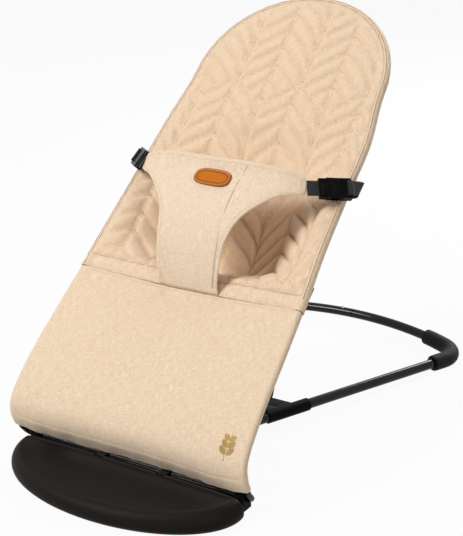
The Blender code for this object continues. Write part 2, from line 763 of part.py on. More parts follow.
def foot_plate_base():
    """The lower moulding: a ribbed tray, two tube sockets, and the shelf that carries the hinge bar."""
    tray_top = TRAY_BOTTOM_Z + TRAY_THICKNESS
    base = slab("foot_plate_base", plate_outline(0.0072), TRAY_BOTTOM_Z, tray_top)
    added = [
        box(
            "base_shelf",
            (-SHELF_HALF_LENGTH, PLATE_REAR_Y + GAP, TRAY_BOTTOM_Z),
            (SHELF_HALF_LENGTH, SHELF_REAR_Y, SHELF_TOP_Z),
        ),
        box(
            "base_shelf_foot",
            (-SHELF_HALF_LENGTH + 0.004, PLATE_REAR_Y - 0.0120, TRAY_BOTTOM_Z),
            (SHELF_HALF_LENGTH - 0.004, 0.004, tray_top),
        ),
    ]
    for word, side in SIDES.items():
        x = side * TUBE_SOCKET_X
        low, high = (x - 0.0112, -SOCKET_DEPTH - 0.003, TRAY_BOTTOM_Z), (x + 0.0112, 0.005, 0.0198)
        added.append(box(f"base_socket_{word}", low, high))
        added.append(
            box(
                f"base_side_rib_{word}",
                (side * 0.082 - RIB_THICKNESS / 2, -0.085, TRAY_BOTTOM_Z),
                (side * 0.082 + RIB_THICKNESS / 2, PLATE_REAR_Y - 0.008, RIB_TOP_Z),
            )
        )
        added.append(
            box(
                f"base_end_rib_{word}",
                (side * 0.122 - RIB_THICKNESS / 2, -0.066, TRAY_BOTTOM_Z),
                (side * 0.122 + RIB_THICKNESS / 2, PLATE_REAR_Y - 0.008, RIB_TOP_Z),
            )
        )
    for number, y in enumerate((-0.030, -0.066)):
        reach = 0.132 if number == 0 else 0.105
        added.append(
            box(
                f"base_cross_rib_{number}",
                (-reach, y - RIB_THICKNESS / 2, TRAY_BOTTOM_Z),
                (reach, y + RIB_THICKNESS / 2, RIB_TOP_Z),
            )
        )
    added.append(
        box(
            "base_middle_rib",
            (-RIB_THICKNESS / 2, -0.098, TRAY_BOTTOM_Z),
            (RIB_THICKNESS / 2, PLATE_REAR_Y - 0.008, RIB_TOP_Z),
        )
    )
    for extra in added:
        boolean(base, helper(extra), "UNION")
    for word, side in SIDES.items():
        x = side * TUBE_SOCKET_X
        start, end = (x, -SOCKET_DEPTH, TUBE_FRONT_Z), (x, 0.02, TUBE_FRONT_Z)
        bore = rod(f"base_tube_bore_{word}", start, end, TUBE_RADIUS + GAP, 24)
        boolean(base, helper(bore))
    trough = rod("base_trough", (-0.2, 0, HINGE_Z), (0.2, 0, HINGE_Z), WIRE_RADIUS + GAP, 24)
    boolean(base, helper(trough))
    for number, (x, y) in enumerate(PLATE_SCREWS):
        hole = rod(f"base_screw_hole_{number}", (x, y, 0), (x, y, 0.02), SCREW_SHANK / 2 + GAP, 12)
        boolean(base, helper(hole))
        sunk = (x, y, TRAY_BOTTOM_Z + 0.0012)
        sink = rod(f"base_screw_sink_{number}", (x, y, 0), sunk, SCREW_HEAD / 2 + GAP, 16)
        boolean(base, helper(sink))
    return place(base, BLACK_PLASTIC)


def screw(name, foot, length):
    """A pan-head screw: its head lies at the foot point and its shank runs up from it."""
    head = 0.0011
    profile = [
        (0, length),
        (SCREW_SHANK / 2, length),
        (SCREW_SHANK / 2, head),
        (SCREW_HEAD / 2, head),
        (SCREW_HEAD / 2, 0),
        (0, 0),
    ]
    obj = turned(name, profile, 12)
    obj.location = foot
    return place(obj, ZINC_STEEL)


def turned(name, profile, steps):
    """A turned piece from (radius, height) points that run down its outer side."""
    mesh = bpy.data.meshes.new(name)
    mesh.from_pydata([(r, 0, z) for r, z in profile], [(i, i + 1) for i in range(len(profile) - 1)], [])
    obj = bpy.data.objects.new(name, mesh)
    step = obj.modifiers.new("turn", "SCREW")
    step.axis = "Z"
    step.steps = steps
    step.render_steps = steps
    step.use_merge_vertices = True
    step.merge_threshold = 0.00005
    return obj


def foot_plate():
    foot_plate_cover()
    foot_plate_base()
    for number, (x, y) in enumerate(PLATE_SCREWS):
        screw(f"plate_screw_{number + 1}", (x, y, TRAY_BOTTOM_Z - 0.0002), 0.0120)
    pads = (("left", -0.100, -0.025, 0.024), ("right", 0.100, -0.025, 0.024), ("front", 0, -0.082, 0.020))
    for name, x, y, reach in pads:
        pad = box(
            f"foot_pad_{name}",
            (x - reach, y - 0.007, 0),
            (x + reach, y + 0.007, FOOT_PAD_THICKNESS),
        )
        place(pad, BLACK_RUBBER)


foot_plate()


def hinge_bush(name, side):
    """The knuckle at the plate's end, snapped over the hinge bar from behind."""
    low = side * (SHELF_HALF_LENGTH + GAP)
    high = side * (SHELF_HALF_LENGTH + GAP + BUSH_LENGTH)
    outline = [(-0.0042, 0.0075), (0.0105, 0.0075), (0.0105, 0.0190)]
    outline += arc((0, HINGE_Z), BUSH_RADIUS, -28, 180, 12) + [(-BUSH_RADIUS, 0.0130)]
    bush = prism(name, outline, low, high)
    bore = rod(f"{name}_bore", (side * 0.12, 0, HINGE_Z), (side * 0.19, 0, HINGE_Z), WIRE_RADIUS + GAP, 20)
    boolean(bush, helper(bore))
    mouth = box(
        f"{name}_mouth",
        (min(low, high) - 0.002, 0, HINGE_Z - 0.0026),
        (max(low, high) + 0.002, 0.03, HINGE_Z + 0.0026),
    )
    boolean(bush, helper(mouth))
    return place(smooth(bush), BLACK_PLASTIC)


def hinge_clip(name, side):
    """A spring clip over the hinge bar, with a tab in the plate's window."""
    inner = WIRE_RADIUS + GAP
    outer = inner + CLIP_WALL
    low = side * CLIP_X - CLIP_LENGTH / 2
    high = side * CLIP_X + CLIP_LENGTH / 2
    foot = SHELF_TOP_Z + GAP
    outline = [(outer, foot)] + arc((0, HINGE_Z), outer, 0, 120, 8)
    tab = CLIP_TAB_Z + 0.0011
    outline += [(-0.0052, tab + 0.0013), (-0.0126, tab + 0.0013), (-0.0126, tab), (-0.0058, tab)]
    outline += [(-outer, HINGE_Z), (-outer, foot), (-inner, foot)]
    outline += arc((0, HINGE_Z), inner, 180, 0, 9) + [(inner, foot)]
    return place(prism(name, outline, low, high), BLACK_PLASTIC)


for word, side in SIDES.items():
    hinge_bush(f"hinge_bush_{word}", side)
    hinge_clip(f"hinge_clip_{word}", side)


# Adjuster on the base frame


def recline_adjuster():
    """A bridge clamped on the side tubes, with three notches for the support bow.

    Behind its middle the deck slopes down, clear of the bow's foot as that swings to the rear.
    """

    def edge(y, inset):
        if y >= SIDE_BEND_Y:
            return side_x(y) - inset
        forward = (SIDE_BEND_Y - y) / (SIDE_BEND_Y - SOCKET_BEND_Y)
        return side_x(SIDE_BEND_Y) + (TUBE_SOCKET_X - side_x(SIDE_BEND_Y)) * forward - inset

    def deck_z(y):
        return ADJUSTER_TOP_Z - max(y - RAMP_START_Y, 0) * RAMP_SLOPE

    bottom = ADJUSTER_TOP_Z - ADJUSTER_DEPTH
    stations = (ADJUSTER_FRONT_Y, SIDE_BEND_Y, ADJUSTER_REAR_Y)
    inset = TUBE_RADIUS + 0.0012
    plan = [(-edge(y, inset), y) for y in stations] + [(edge(y, inset), y) for y in reversed(stations)]
    bridge = slab("recline_adjuster", plan, bottom, ADJUSTER_TOP_Z)
    past = ADJUSTER_REAR_Y + 0.02
    above = [(RAMP_START_Y, ADJUSTER_TOP_Z), (past, deck_z(past)), (past, 0.05), (RAMP_START_Y, 0.05)]
    boolean(bridge, helper(prism("adjuster_ramp", above, -0.2, 0.2)))
    for word, side in SIDES.items():
        clamp = rod(
            f"adjuster_clamp_{word}",
            side_point(CLAMP_FRONT_Y, side),
            side_point(CLAMP_REAR_Y, side),
            TUBE_RADIUS + CLAMP_WALL,
            24,
        )
        boolean(bridge, helper(clamp), "UNION")
    for word, side in SIDES.items():
        along = (side_point(CLAMP_REAR_Y, side) - side_point(CLAMP_FRONT_Y, side)).normalized()
        bore = rod(
            f"adjuster_bore_{word}",
            side_point(CLAMP_FRONT_Y, side) - along * 0.02,
            side_point(CLAMP_REAR_Y, side) + along * 0.02,
            TUBE_RADIUS + GAP,
            28,
        )
        boolean(bridge, helper(bore))
    front_room = box(
        "adjuster_hollow_front",
        (-0.050, ADJUSTER_FRONT_Y + ADJUSTER_WALL, bottom - 0.002),
        (0.050, 0.150, ADJUSTER_TOP_Z - 0.0060),
    )
    boolean(bridge, helper(front_room))
    for number, (y, z) in enumerate(NOTCHES):
        ends = (-NOTCH_HALF_LENGTH, y, z), (NOTCH_HALF_LENGTH, y, z)
        notch = rod(f"adjuster_notch_{number}", *ends, FOOT_SLEEVE_DIAMETER / 2 + GAP, 24)
        boolean(bridge, helper(notch))
    for number, ((near, _), (far, _)) in enumerate(zip(NOTCHES[1:], NOTCHES)):
        hollow = box(
            f"adjuster_hollow_{number}",
            (-0.046, near + 0.0065, bottom - 0.002),
            (0.046, far - 0.0065, deck_z(far - 0.0065) - 0.0022),
        )
        boolean(bridge, helper(hollow))
    for word, side in SIDES.items():
        x, y = side * ADJUSTER_SCREW_X, ADJUSTER_SCREW_Y
        hole = rod(f"adjuster_screw_hole_{word}", (x, y, 0), (x, y, 0.0205), SCREW_SHANK / 2 + GAP, 12)
        boolean(bridge, helper(hole))
    return place(smooth(bridge, 30), BLACK_PLASTIC)


recline_adjuster()
for word, side in SIDES.items():
    foot = (side * ADJUSTER_SCREW_X, ADJUSTER_SCREW_Y, ADJUSTER_TOP_Z - ADJUSTER_DEPTH - 0.0014)
    screw(f"adjuster_screw_{word}", foot, 0.0055)


# Support bow

BOW_STATION = WAIST + BOW_PIVOT_ABOVE_WAIST
BOW_PIVOT = seat_point(0, BOW_STATION, -BOW_PIVOT_BEHIND)
BOW_FOOT = Vector((0, NOTCHES[0][0], FOOT_Z))

bow_axis = bpy.data.objects.new("bow_axis", None)
bow_axis.parent = turn_axis
bow_axis.matrix_parent_inverse = Matrix.Translation(-HINGE)
bow_axis.location = BOW_PIVOT
parts.objects.link(bow_axis)


def on_bow(obj, mat):
    place(obj, mat, bow_axis)
    obj.matrix_parent_inverse = Matrix.Translation(-BOW_PIVOT)
    return obj


def support_bow():
    """A bent wire whose pins turn in the saddles and whose foot lies over a notch."""
    pin_x = BOW_TOP_HALF_WIDTH + BOW_PIN_LENGTH
    corners = [
        Vector((side * x, point.y, point.z))
        for side, x, point in (
            (-1, pin_x, BOW_PIVOT),
            (-1, BOW_TOP_HALF_WIDTH - 0.004, BOW_PIVOT),
            (-1, BOW_FOOT_HALF_WIDTH, BOW_FOOT),
            (1, BOW_FOOT_HALF_WIDTH, BOW_FOOT),
            (1, BOW_TOP_HALF_WIDTH - 0.004, BOW_PIVOT),
            (1, pin_x, BOW_PIVOT),
        )
    ]
    path = rounded_path(corners, [0.008, BOW_BEND, BOW_BEND, 0.008], 6)
    on_bow(wire("support_bow", path, BOW_DIAMETER / 2), BLACK_ENAMEL)
    reach = Vector((FOOT_SLEEVE_LENGTH / 2, 0, 0))
    sleeve = rod("bow_foot_sleeve", BOW_FOOT - reach, BOW_FOOT + reach, FOOT_SLEEVE_DIAMETER / 2, 20)
    bore = rod("sleeve_bore", BOW_FOOT - reach * 2, BOW_FOOT + reach * 2, BOW_DIAMETER / 2 + GAP, 20)
    boolean(sleeve, helper(bore))
    on_bow(smooth(sleeve), BLACK_RUBBER)


def bow_saddle(name, side):
    """A moulded saddle under the wire, with a bearing for the bow's pin and a peg up to the wire."""
    wire_x = half_width(BOW_STATION)
    hub_low = BOW_TOP_HALF_WIDTH + 0.0042
    hub_high = hub_low + SADDLE_HUB_LENGTH
    hub = rod(name, (side * hub_low, *BOW_PIVOT.yz), (side * hub_high, *BOW_PIVOT.yz), 0.0068, 20)
    low, high = BOW_STATION - 0.010, BOW_STATION + 0.010
    section = (
        (hub_low + 0.0005, -0.0120),
        (hub_high - 0.0010, -0.0080),
        (wire_x + 0.0030, -0.0080),
        (wire_x + 0.0030, -0.0105),
        (hub_low + 0.0005, -0.0160),
    )
    start = [seat_point(side * x, low, h) for x, h in section]
    arm = extruded(f"{name}_arm", start, seat_point(0, high) - seat_point(0, low))
    boolean(hub, helper(arm), "UNION")
    peg = rod(
        f"{name}_peg",
        seat_point(side * wire_x, BOW_STATION, -0.0090),
        seat_point(side * wire_x, BOW_STATION, -WIRE_RADIUS - GAP),
        PEG_RADIUS,
        12,
    )
    boolean(hub, helper(peg), "UNION")
    bore = rod(
        f"{name}_bore",
        (side * (hub_low - 0.01), *BOW_PIVOT.yz),
        (side * (BOW_TOP_HALF_WIDTH + BOW_PIN_LENGTH + GAP), *BOW_PIVOT.yz),
        BOW_DIAMETER / 2 + GAP,
        20,
    )
    boolean(hub, helper(bore))
    return on_seat(smooth(hub, 30), BLACK_PLASTIC)


support_bow()
for word, side in SIDES.items():
    bow_saddle(f"bow_saddle_{word}", side)


# Cover: lower panel, frame tunnel, sling, quilted pad and waist band


def grid_index(value, cells):
    """Which point of a row of cells a value from -1 to 1 stands for."""
    return round((value + 1) / 2 * cells)


def round_wire(steps):
    """Outward and upward offsets round the outer half of a tunnel, from its front to its back."""
    angles = np.linspace(math.pi / 2, -math.pi / 2, steps)
    return [(TUNNEL_RADIUS * math.cos(a), TUNNEL_RADIUS * math.sin(a)) for a in angles]


def lower_panel():
    """The plain front cloth, from the hem to the waist seam, with a tunnel for the wire at each side."""
    edge = round_wire(6) + [(-0.016, -TUNNEL_RADIUS + 0.0008)]
    middle = 9
    columns = middle + 2 * len(edge) - 1
    end = WAIST - GAP

    def shape(u, v):
        index = grid_index(u, columns)
        across = min(max((index - len(edge) + 0.5) / middle * 2 - 1, -1), 1)
        start = HEM_ABOVE_STATION + HEM_ARCH * (1 - across**2)
        s = start + (end - start) * (v + 1) / 2
        width = half_width(s)
        if abs(across) == 1:
            side = int(across)
            place_in_edge = len(edge) - 1 - index if side < 0 else index - (columns - len(edge) + 1)
            offset, h = edge[place_in_edge]
            return seat_point(side * (width + offset), s, h)
        h = TUNNEL_RADIUS - LOWER_SAG * (1 - across**2)
        return seat_point(across * (width - 0.003), s, h - waist_sag(across * width, s))

    panel = sheet("cover_lower_panel", columns, LOWER_ROWS, shape)
    return on_seat(smooth(thicken(panel, CLOTH, -1), 80), SAND_CLOTH)


lower_panel()


def edge_place(share):
    """A place on the right wire from the waist (0) to the middle of the top (1), and which way is out."""
    straight = UPPER_ROWS / (UPPER_ROWS + ROUND_ROWS)
    if share <= straight:
        s = WAIST + (ROUND_START - WAIST) * share / straight
        slope = (half_width(min(s + 0.004, ROUND_START)) - half_width(s - 0.004)) / 0.008
        out = Vector((1, -slope))
    else:
        angle = (share - straight) / (1 - straight) * math.pi / 2
        s = ROUND_START + (SEAT_LENGTH - ROUND_START) * math.sin(angle)
        across = math.cos(angle) / SEAT_STATIONS[ROUND_STATION][2]
        out = Vector((across, math.sin(angle) / (SEAT_LENGTH - ROUND_START)))
    return half_width(s), s, out.normalized()


def edge_point(t, outward, h):
    """A point beside the wire: t runs from one side of the waist (-1) over the top (0) to the other."""
    x, s, out = edge_place(1 - abs(t))
    side = -1 if t < 0 else 1
    across = side * (x + out.x * outward)
    length = s + out.y * outward
    point = seat_point(across, min(length, SEAT_LENGTH), h)
    if length > SEAT_LENGTH:
        behind = seat_point(across, SEAT_LENGTH - 0.012, h)
        point += (point - behind).normalized() * (length - SEAT_LENGTH)
    return point


def frame_tunnel():
    """The bound edge of the back: a strip folded round the wire, from the waist over the top."""
    section = [(-FRONT_FLANGE, TUNNEL_RADIUS - 0.0012)] + round_wire(6) + [(-BACK_FLANGE, -TUNNEL_RADIUS)]
    cells = len(section) - 1

    def shape(u, v):
        outward, h = section[grid_index(v, cells)]
        clear_of_seam = 1 - 0.0016 / (SEAT_LENGTH - WAIST)
        return edge_point(u * clear_of_seam, outward, h)

    tunnel = sheet("cover_frame_tunnel", 2 * (UPPER_ROWS + ROUND_ROWS), cells, shape)
    thicken(tunnel, CLOTH, -1)
    for word, side in SIDES.items():
        wire_x = half_width(BOW_STATION)
        eyelet = rod(
            f"eyelet_{word}",
            seat_point(side * wire_x, BOW_STATION, -0.0090),
            seat_point(side * wire_x, BOW_STATION, -0.0010),
            PEG_RADIUS + GAP,
            12,
        )
        boolean(tunnel, helper(eyelet))
    return on_seat(smooth(tunnel, 80), SAND_CLOTH)


frame_tunnel()


def back_sling():
    """The plain cloth behind the pad, sewn into the frame tunnel and hanging in a pocket."""
    start, end = WAIST + GAP, SEAT_LENGTH - SLING_INSET
    near = [0, 0.012, 0.020, 0.028, 0.037, 0.047, 0.058, 0.070, 0.088, 0.110, 0.140, 0.175, 0.215, 0.260]
    far = np.sin(np.linspace(0, math.pi / 2, 8))
    rows = [start + rise for rise in near] + [ROUND_START + (end - ROUND_START) * f for f in far]
    columns = [-1, -0.93, -0.8, -0.6, -0.4, -0.2, 0, 0.2, 0.4, 0.6, 0.8, 0.93, 1]

    def shape(u, v):
        s = rows[grid_index(v, len(rows) - 1)]
        across = columns[grid_index(u, len(columns) - 1)]
        slack = SLING_SLACK * min(max(0.93 - abs(across), 0) * 5, (s - start) / 0.02, (end - s) / 0.03, 1)
        return cover_point(across * inner_width(s, SLING_INSET), s, SLING_LEVEL - slack)

    sling = sheet("cover_back_sling", len(columns) - 1, len(rows) - 1, shape)
    return on_seat(smooth(thicken(sling, CLOTH, -1), 80), SAND_CLOTH)


back_sling()


def quilted_pad():
    """The quilted layer: leaf-shaped channels slant across six columns, mirrored from one to the next."""
    start = WAIST + WAIST_BAND
    end = SEAT_LENGTH - PAD_INSET
    halves = 2 * QUILT_COLUMNS
    columns = [-1.0, -0.95] + [2 * c / halves - 1 for c in range(1, halves)] + [0.95, 1.0]
    rows = 2 * round((end - start) / QUILT_PITCH)

    def shape(u, v):
        across = columns[grid_index(u, len(columns) - 1)]
        seams = (across + 1) / 2 * QUILT_COLUMNS
        slant = 1 - abs((seams % 2) - 1)
        shift = (slant - 0.5) * QUILT_SLANT * 2 / (end - start) * (1 - abs(v) ** 6)
        s = row_length(max(min(v + shift, 1), -1), start, end)
        x = across * inner_width(s, PAD_INSET)
        inside = min(max(edge_distance(x, s, PAD_INSET), 0) / 0.028, (s - start) / 0.02, 1)
        crown_row = grid_index(v, rows) % 2
        beside_seam = 0.3 if abs(seams - round(seams)) < 0.01 else 1.0
        h = PAD_LEVEL + (PAD_CROWN + QUILT_DEPTH * crown_row * beside_seam) * inside
        return cover_point(x, s, h)

    pad = sheet("quilted_pad", len(columns) - 1, rows, shape)
    return on_seat(smooth(thicken(pad, PAD_THICKNESS, -1), 80), QUILTED_CLOTH)


quilted_pad()


def waist_band():
    """The plain strip between the waist seam and the quilting."""

    def shape(u, v):
        s = WAIST + GAP * 2 + (WAIST_BAND - 0.0050) * (v + 1) / 2
        return cover_point(u * inner_width(s, SLING_INSET), s, PAD_LEVEL - PAD_THICKNESS)

    band = sheet("cover_waist_band", 12, 2, shape)
    return on_seat(smooth(thicken(band, CLOTH, 1), 80), SAND_CLOTH)


waist_band()


# Restraint panel with its patch, straps and buckles


def panel_values(rise):
    """Half width and height off the seat of the restraint panel, above the waist seam."""
    rises, widths, heights = zip(*PANEL_SHAPE)
    return float(np.interp(rise, rises, widths)), float(np.interp(rise, rises, heights))


def panel_point(x, rise, above=0.0):
    reach = max(width for _, width, _ in PANEL_SHAPE)
    arch = 1 - PANEL_EAR_DROP * (abs(x) / reach) ** 5
    s = WAIST + rise
    return seat_point(x, s, panel_values(rise)[1] * arch - waist_sag(x, s) + above)


def restraint_panel():
    """The T-shaped panel that holds the child: a stem from the waist seam, and two wings."""
    rises = [0.0015, 0.008, 0.014, 0.022, 0.031, 0.042, 0.0515, 0.0746, 0.090, 0.1056]
    rises += [0.116, 0.1254, 0.132, 0.1388, 0.1484, 0.1592]

    def shape(u, v):
        rise = rises[grid_index(v, len(rises) - 1)]
        return panel_point(u * panel_values(rise)[0], rise)

    panel = sheet("restraint_panel", 10, len(rises) - 1, shape)
    return on_seat(smooth(thicken(panel, PANEL_THICKNESS, 0), 80), SAND_CLOTH)


restraint_panel()


def leather_patch():
    """A bare leather patch with rounded ends, sewn on the panel's chest."""
    wide, tall = PATCH_SIZE

    def shape(u, v):
        x = u * wide / 2 * (1 - 0.24 * max(abs(v) - 0.4, 0) ** 2 / 0.36)
        rise = PATCH_LEVEL + v * tall / 2 * (1 - 0.3 * max(abs(u) - 0.4, 0) ** 2 / 0.36)
        return panel_point(x, rise, PANEL_THICKNESS / 2 + 2 * GAP)

    patch = sheet("leather_patch", 8, 5, shape)
    return on_seat(smooth(thicken(patch, PATCH_THICKNESS, 1), 60), TAN_LEATHER)


leather_patch()


class StrapLine:
    """The straight run of one side's strap, from the panel's wing to the loop round the frame.

    Its frame has the reach along the strap, then across the webbing, then out towards the child.
    """

    def __init__(self, side):
        self.side = side
        self.station = WAIST + LOOP_LEVEL
        self.edge_x = half_width(self.station)
        width = panel_values(STRAP_LEVEL)[0]
        wing = panel_point(side * (width + 0.0003), STRAP_LEVEL)
        end = seat_point(side * (self.edge_x + 0.0215), self.station, 0.0005)
        along = (end - wing).normalized()
        rise = seat_point(0, self.station + 0.01) - seat_point(0, self.station - 0.01)
        up = (rise - along * rise.dot(along)).normalized() * side
        out = along.cross(up)
        self.frame = Matrix.Translation(wing) @ Matrix((along, up, out)).transposed().to_4x4()

    def point(self, reach, across=0.0, out=0.0):
        return self.frame @ Vector((reach, across, out))

    def block(self, name, reach, half_across, out):
        """A block on the strap's middle, from its reach, half its width and its out range."""
        block = box(name, (reach[0], -half_across, out[0]), (reach[1], half_across, out[1]))
        block.data.transform(self.frame)
        return block

    def side_block(self, name, reach, across, out, mirror):
        """A block beside the strap's middle, on the side that mirror gives."""
        low, high = sorted((across[0] * mirror, across[1] * mirror))
        block = box(name, (reach[0], low, out[0]), (reach[1], high, out[1]))
        block.data.transform(self.frame)
        return block


def panel_strap(word, line):
    """Webbing sewn to the wing, threaded through the plug's slot."""
    reach = (0.0, PLUG_START + PLUG_BASE - 0.0012)
    out = (STRAP_PLANE, STRAP_PLANE + STRAP_THICKNESS)
    on_seat(line.block(f"panel_strap_{word}", reach, STRAP_WIDTH / 2, out), BLACK_WEBBING)


def buckle_plug(word, line):
    """The plug: a slotted base on the webbing, a centre guide and two sprung prongs."""
    axis = bpy.data.objects.new(f"buckle_slide_{word}", None)
    axis.parent = turn_axis
    axis.matrix_parent_inverse = Matrix.Translation(-HINGE)
    axis.location = line.point(PLUG_START)
    parts.objects.link(axis)
    start, end = PLUG_START, PLUG_START + PLUG_BASE
    half = PLUG_THICKNESS / 2
    plug = line.block(f"buckle_plug_{word}", (start, end), BUCKLE_WIDTH / 2 - 0.0005, (-half, half))
    tip = end + PRONG_LENGTH
    joined = [line.block(f"plug_guide_{word}", (end - 0.002, tip - 0.002), 0.0022, PRONG_LAYER)]
    for mirror in (-1, 1):
        arm = f"plug_arm_{word}_{mirror}"
        barb = f"plug_barb_{word}_{mirror}"
        joined.append(line.side_block(arm, (end - 0.002, tip), (0.0065, 0.0092), PRONG_LAYER, mirror))
        reach = (tip - 0.0055, tip - 0.001)
        joined.append(line.side_block(barb, reach, (0.0085, 0.0112), PRONG_LAYER, mirror))
    for extra in joined:
        boolean(plug, helper(extra), "UNION")
    slot_out = (STRAP_PLANE - GAP, STRAP_PLANE + STRAP_THICKNESS + GAP)
    slot = line.block(f"plug_slot_{word}", (start - 0.01, end + 0.02), STRAP_WIDTH / 2 + GAP, slot_out)
    boolean(plug, helper(slot))
    window = line.block(f"plug_window_{word}", (start + 0.0028, start + 0.0054), 0.0085, (STRAP_PLANE, 0.01))
    boolean(plug, helper(window))
    place(plug, BLACK_PLASTIC, axis)
    plug.matrix_parent_inverse = Matrix.Translation(-axis.location)


def buckle_socket(word, line):
    """The socket: a flat housing, open towards the plug, with windows for the prongs."""
    start = PLUG_START + PLUG_BASE + GAP
    end = start + SOCKET_LENGTH
    half = BUCKLE_THICKNESS / 2
    socket = line.block(f"buckle_socket_{word}", (start, end), BUCKLE_WIDTH / 2, (-half, half))
    layer = (PRONG_LAYER[0] - GAP, PRONG_LAYER[1] + GAP)
    depth = start + PRONG_LENGTH + 0.0012
    boolean(socket, helper(line.block(f"socket_hollow_{word}", (start - 0.01, depth), 0.0116, layer)))
    window_reach = (start + 0.0060, depth - 0.0007)
    for mirror in (-1, 1):
        name = f"socket_window_{word}_{mirror}"
        window = line.side_block(name, window_reach, (0.0100, 0.02), (layer[0], 0.0026), mirror)
        boolean(socket, helper(window))
    slot_middle = end - BUCKLE_SLOT_FROM_END
    slot_reach = (slot_middle - 0.0014, slot_middle + 0.0014)
    slot = line.block(f"socket_slot_{word}", slot_reach, STRAP_WIDTH / 2 + GAP, (-0.01, 0.01))
    boolean(socket, helper(slot))
    on_seat(bevel(socket, 0.0009, 1), BLACK_PLASTIC)


def frame_strap(word, line):
    """Webbing through the socket's slot, over its bar and round the frame to the back of the cover."""
    end = PLUG_START + PLUG_BASE + GAP + SOCKET_LENGTH
    slot = end - BUCKLE_SLOT_FROM_END
    over_bar = [
        (slot, -0.0050),
        (slot, 0.0054),
        (slot + 0.0030, 0.0061),
        (end + 0.0010, 0.0056),
        (end + 0.0026, 0.0036),
    ]
    under = -TUNNEL_RADIUS - 0.0016
    round_edge = [
        (0.0197, 0.0022),
        (0.0170, under / 2),
        (0.0100, under),
        (0.0010, under),
        (-0.0070, under + 0.0006),
        (-0.0105, under + 0.0005),
    ]
    cells = len(over_bar) + len(round_edge) - 1

    def shape(u, v):
        index = grid_index(u, cells)
        across = v * STRAP_WIDTH / 2
        if index < len(over_bar):
            reach, out = over_bar[index]
            return line.point(reach, across * line.side, out)
        offset, h = round_edge[index - len(over_bar)]
        return seat_point(line.side * (line.edge_x + offset), line.station + across, h)

    strap = sheet(f"frame_strap_{word}", cells, 2, shape)
    on_seat(thicken(strap, STRAP_THICKNESS * 0.85, 0), BLACK_WEBBING)


for word, side in SIDES.items():
    strap_line = StrapLine(side)
    panel_strap(word, strap_line)
    buckle_plug(word, strap_line)
    buckle_socket(word, strap_line)
    frame_strap(word, strap_line)
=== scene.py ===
"""Looks of a baby bouncer: quilted cover, restraint panel, webbing, moulded foot plate and enamelled tubes.

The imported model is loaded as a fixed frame, in metres, and every piece here is made where the frame has it.
"""

import logging
import math
from collections import defaultdict
from contextlib import contextmanager
from dataclasses import dataclass, field
from enum import Enum
from typing import Any, Iterable, Iterator, Sequence

import bmesh
import bpy
import numpy as np
from mathutils import Matrix, Vector
from mathutils.geometry import delaunay_2d_cdt


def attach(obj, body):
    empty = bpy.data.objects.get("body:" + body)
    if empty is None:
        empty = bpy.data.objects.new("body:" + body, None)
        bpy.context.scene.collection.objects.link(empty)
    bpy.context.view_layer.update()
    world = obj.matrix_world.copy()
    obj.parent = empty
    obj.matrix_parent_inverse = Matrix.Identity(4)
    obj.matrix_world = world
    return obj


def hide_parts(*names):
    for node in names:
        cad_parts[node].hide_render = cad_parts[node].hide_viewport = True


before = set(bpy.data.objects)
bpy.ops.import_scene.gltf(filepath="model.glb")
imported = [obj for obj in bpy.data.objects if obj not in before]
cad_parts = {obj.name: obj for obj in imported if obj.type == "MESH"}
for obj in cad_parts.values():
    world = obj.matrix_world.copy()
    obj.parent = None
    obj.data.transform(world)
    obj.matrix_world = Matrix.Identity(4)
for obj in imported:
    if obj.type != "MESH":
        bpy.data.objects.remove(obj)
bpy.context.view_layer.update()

LOG = logging.getLogger("bouncer")
MM = 0.001

# The frame's middle lies this far in front of the seat hinge
HINGE_Y = -0.240
HINGE_Z = 0.0235

WIRE_RADIUS = 0.0035
TUBE_RADIUS = 0.007
CLOTH = 0.0014
GAP = 0.0003
STITCH_LIFT = 0.0002
# How far from the wire the cloth that lies over it bulges
WIRE_HUMP = 0.0075
SIDES = {"left": -1, "right": 1}


class Body(Enum):
    """The frame's bodies that pieces ride on."""

    BASE = "base"
    SEAT = "seat"
    BOW = "bow"
    PLUG_LEFT = "plug_left"
    PLUG_RIGHT = "plug_right"


# Nodes and finishes


def set_inputs(node: bpy.types.Node, inputs: dict[Any, Any]) -> None:
    """Sets a node's input sockets, each to a value or linked from another socket."""
    for socket, value in inputs.items():
        if isinstance(value, bpy.types.NodeSocket):
            node.id_data.links.new(value, node.inputs[socket])
        else:
            node.inputs[socket].default_value = value


def add_node(
    tree: bpy.types.NodeTree, kind: str, inputs: dict[Any, Any] | None = None, out: int | str = 0, **settings: Any
) -> bpy.types.NodeSocket | None:
    """Adds a node with its settings, socket values and links.

    Args:
        tree: The node tree of a material or of a modifier.
        kind: The node's type.
        inputs: A value, or the socket that is linked, for each input socket.
        out: The output socket that is wanted.
        settings: Properties of the node.

    Returns:
        That output of the new node, or None where it has no outputs.
    """
    made = tree.nodes.new(kind)
    for name, value in settings.items():
        setattr(made, name, value)
    set_inputs(made, inputs or {})
    return made.outputs[out] if len(made.outputs) else None


def linear(colour: str) -> tuple[float, float, float, float]:
    """Turns an sRGB hex colour, such as #EED5B7, to the linear one with alpha that a shader takes."""
    parts = [int(colour[i : i + 2], 16) / 255 for i in (1, 3, 5)]
    red, green, blue = [c / 12.92 if c <= 0.04045 else ((c + 0.055) / 1.055) ** 2.4 for c in parts]
    return red, green, blue, 1.0


def wave_scale(pitch_mm: float) -> float:
    """Gives the scale of a Wave Texture, which draws 20 radians to a unit, from the pitch of its bands."""
    return math.tau / (pitch_mm * MM) / 20


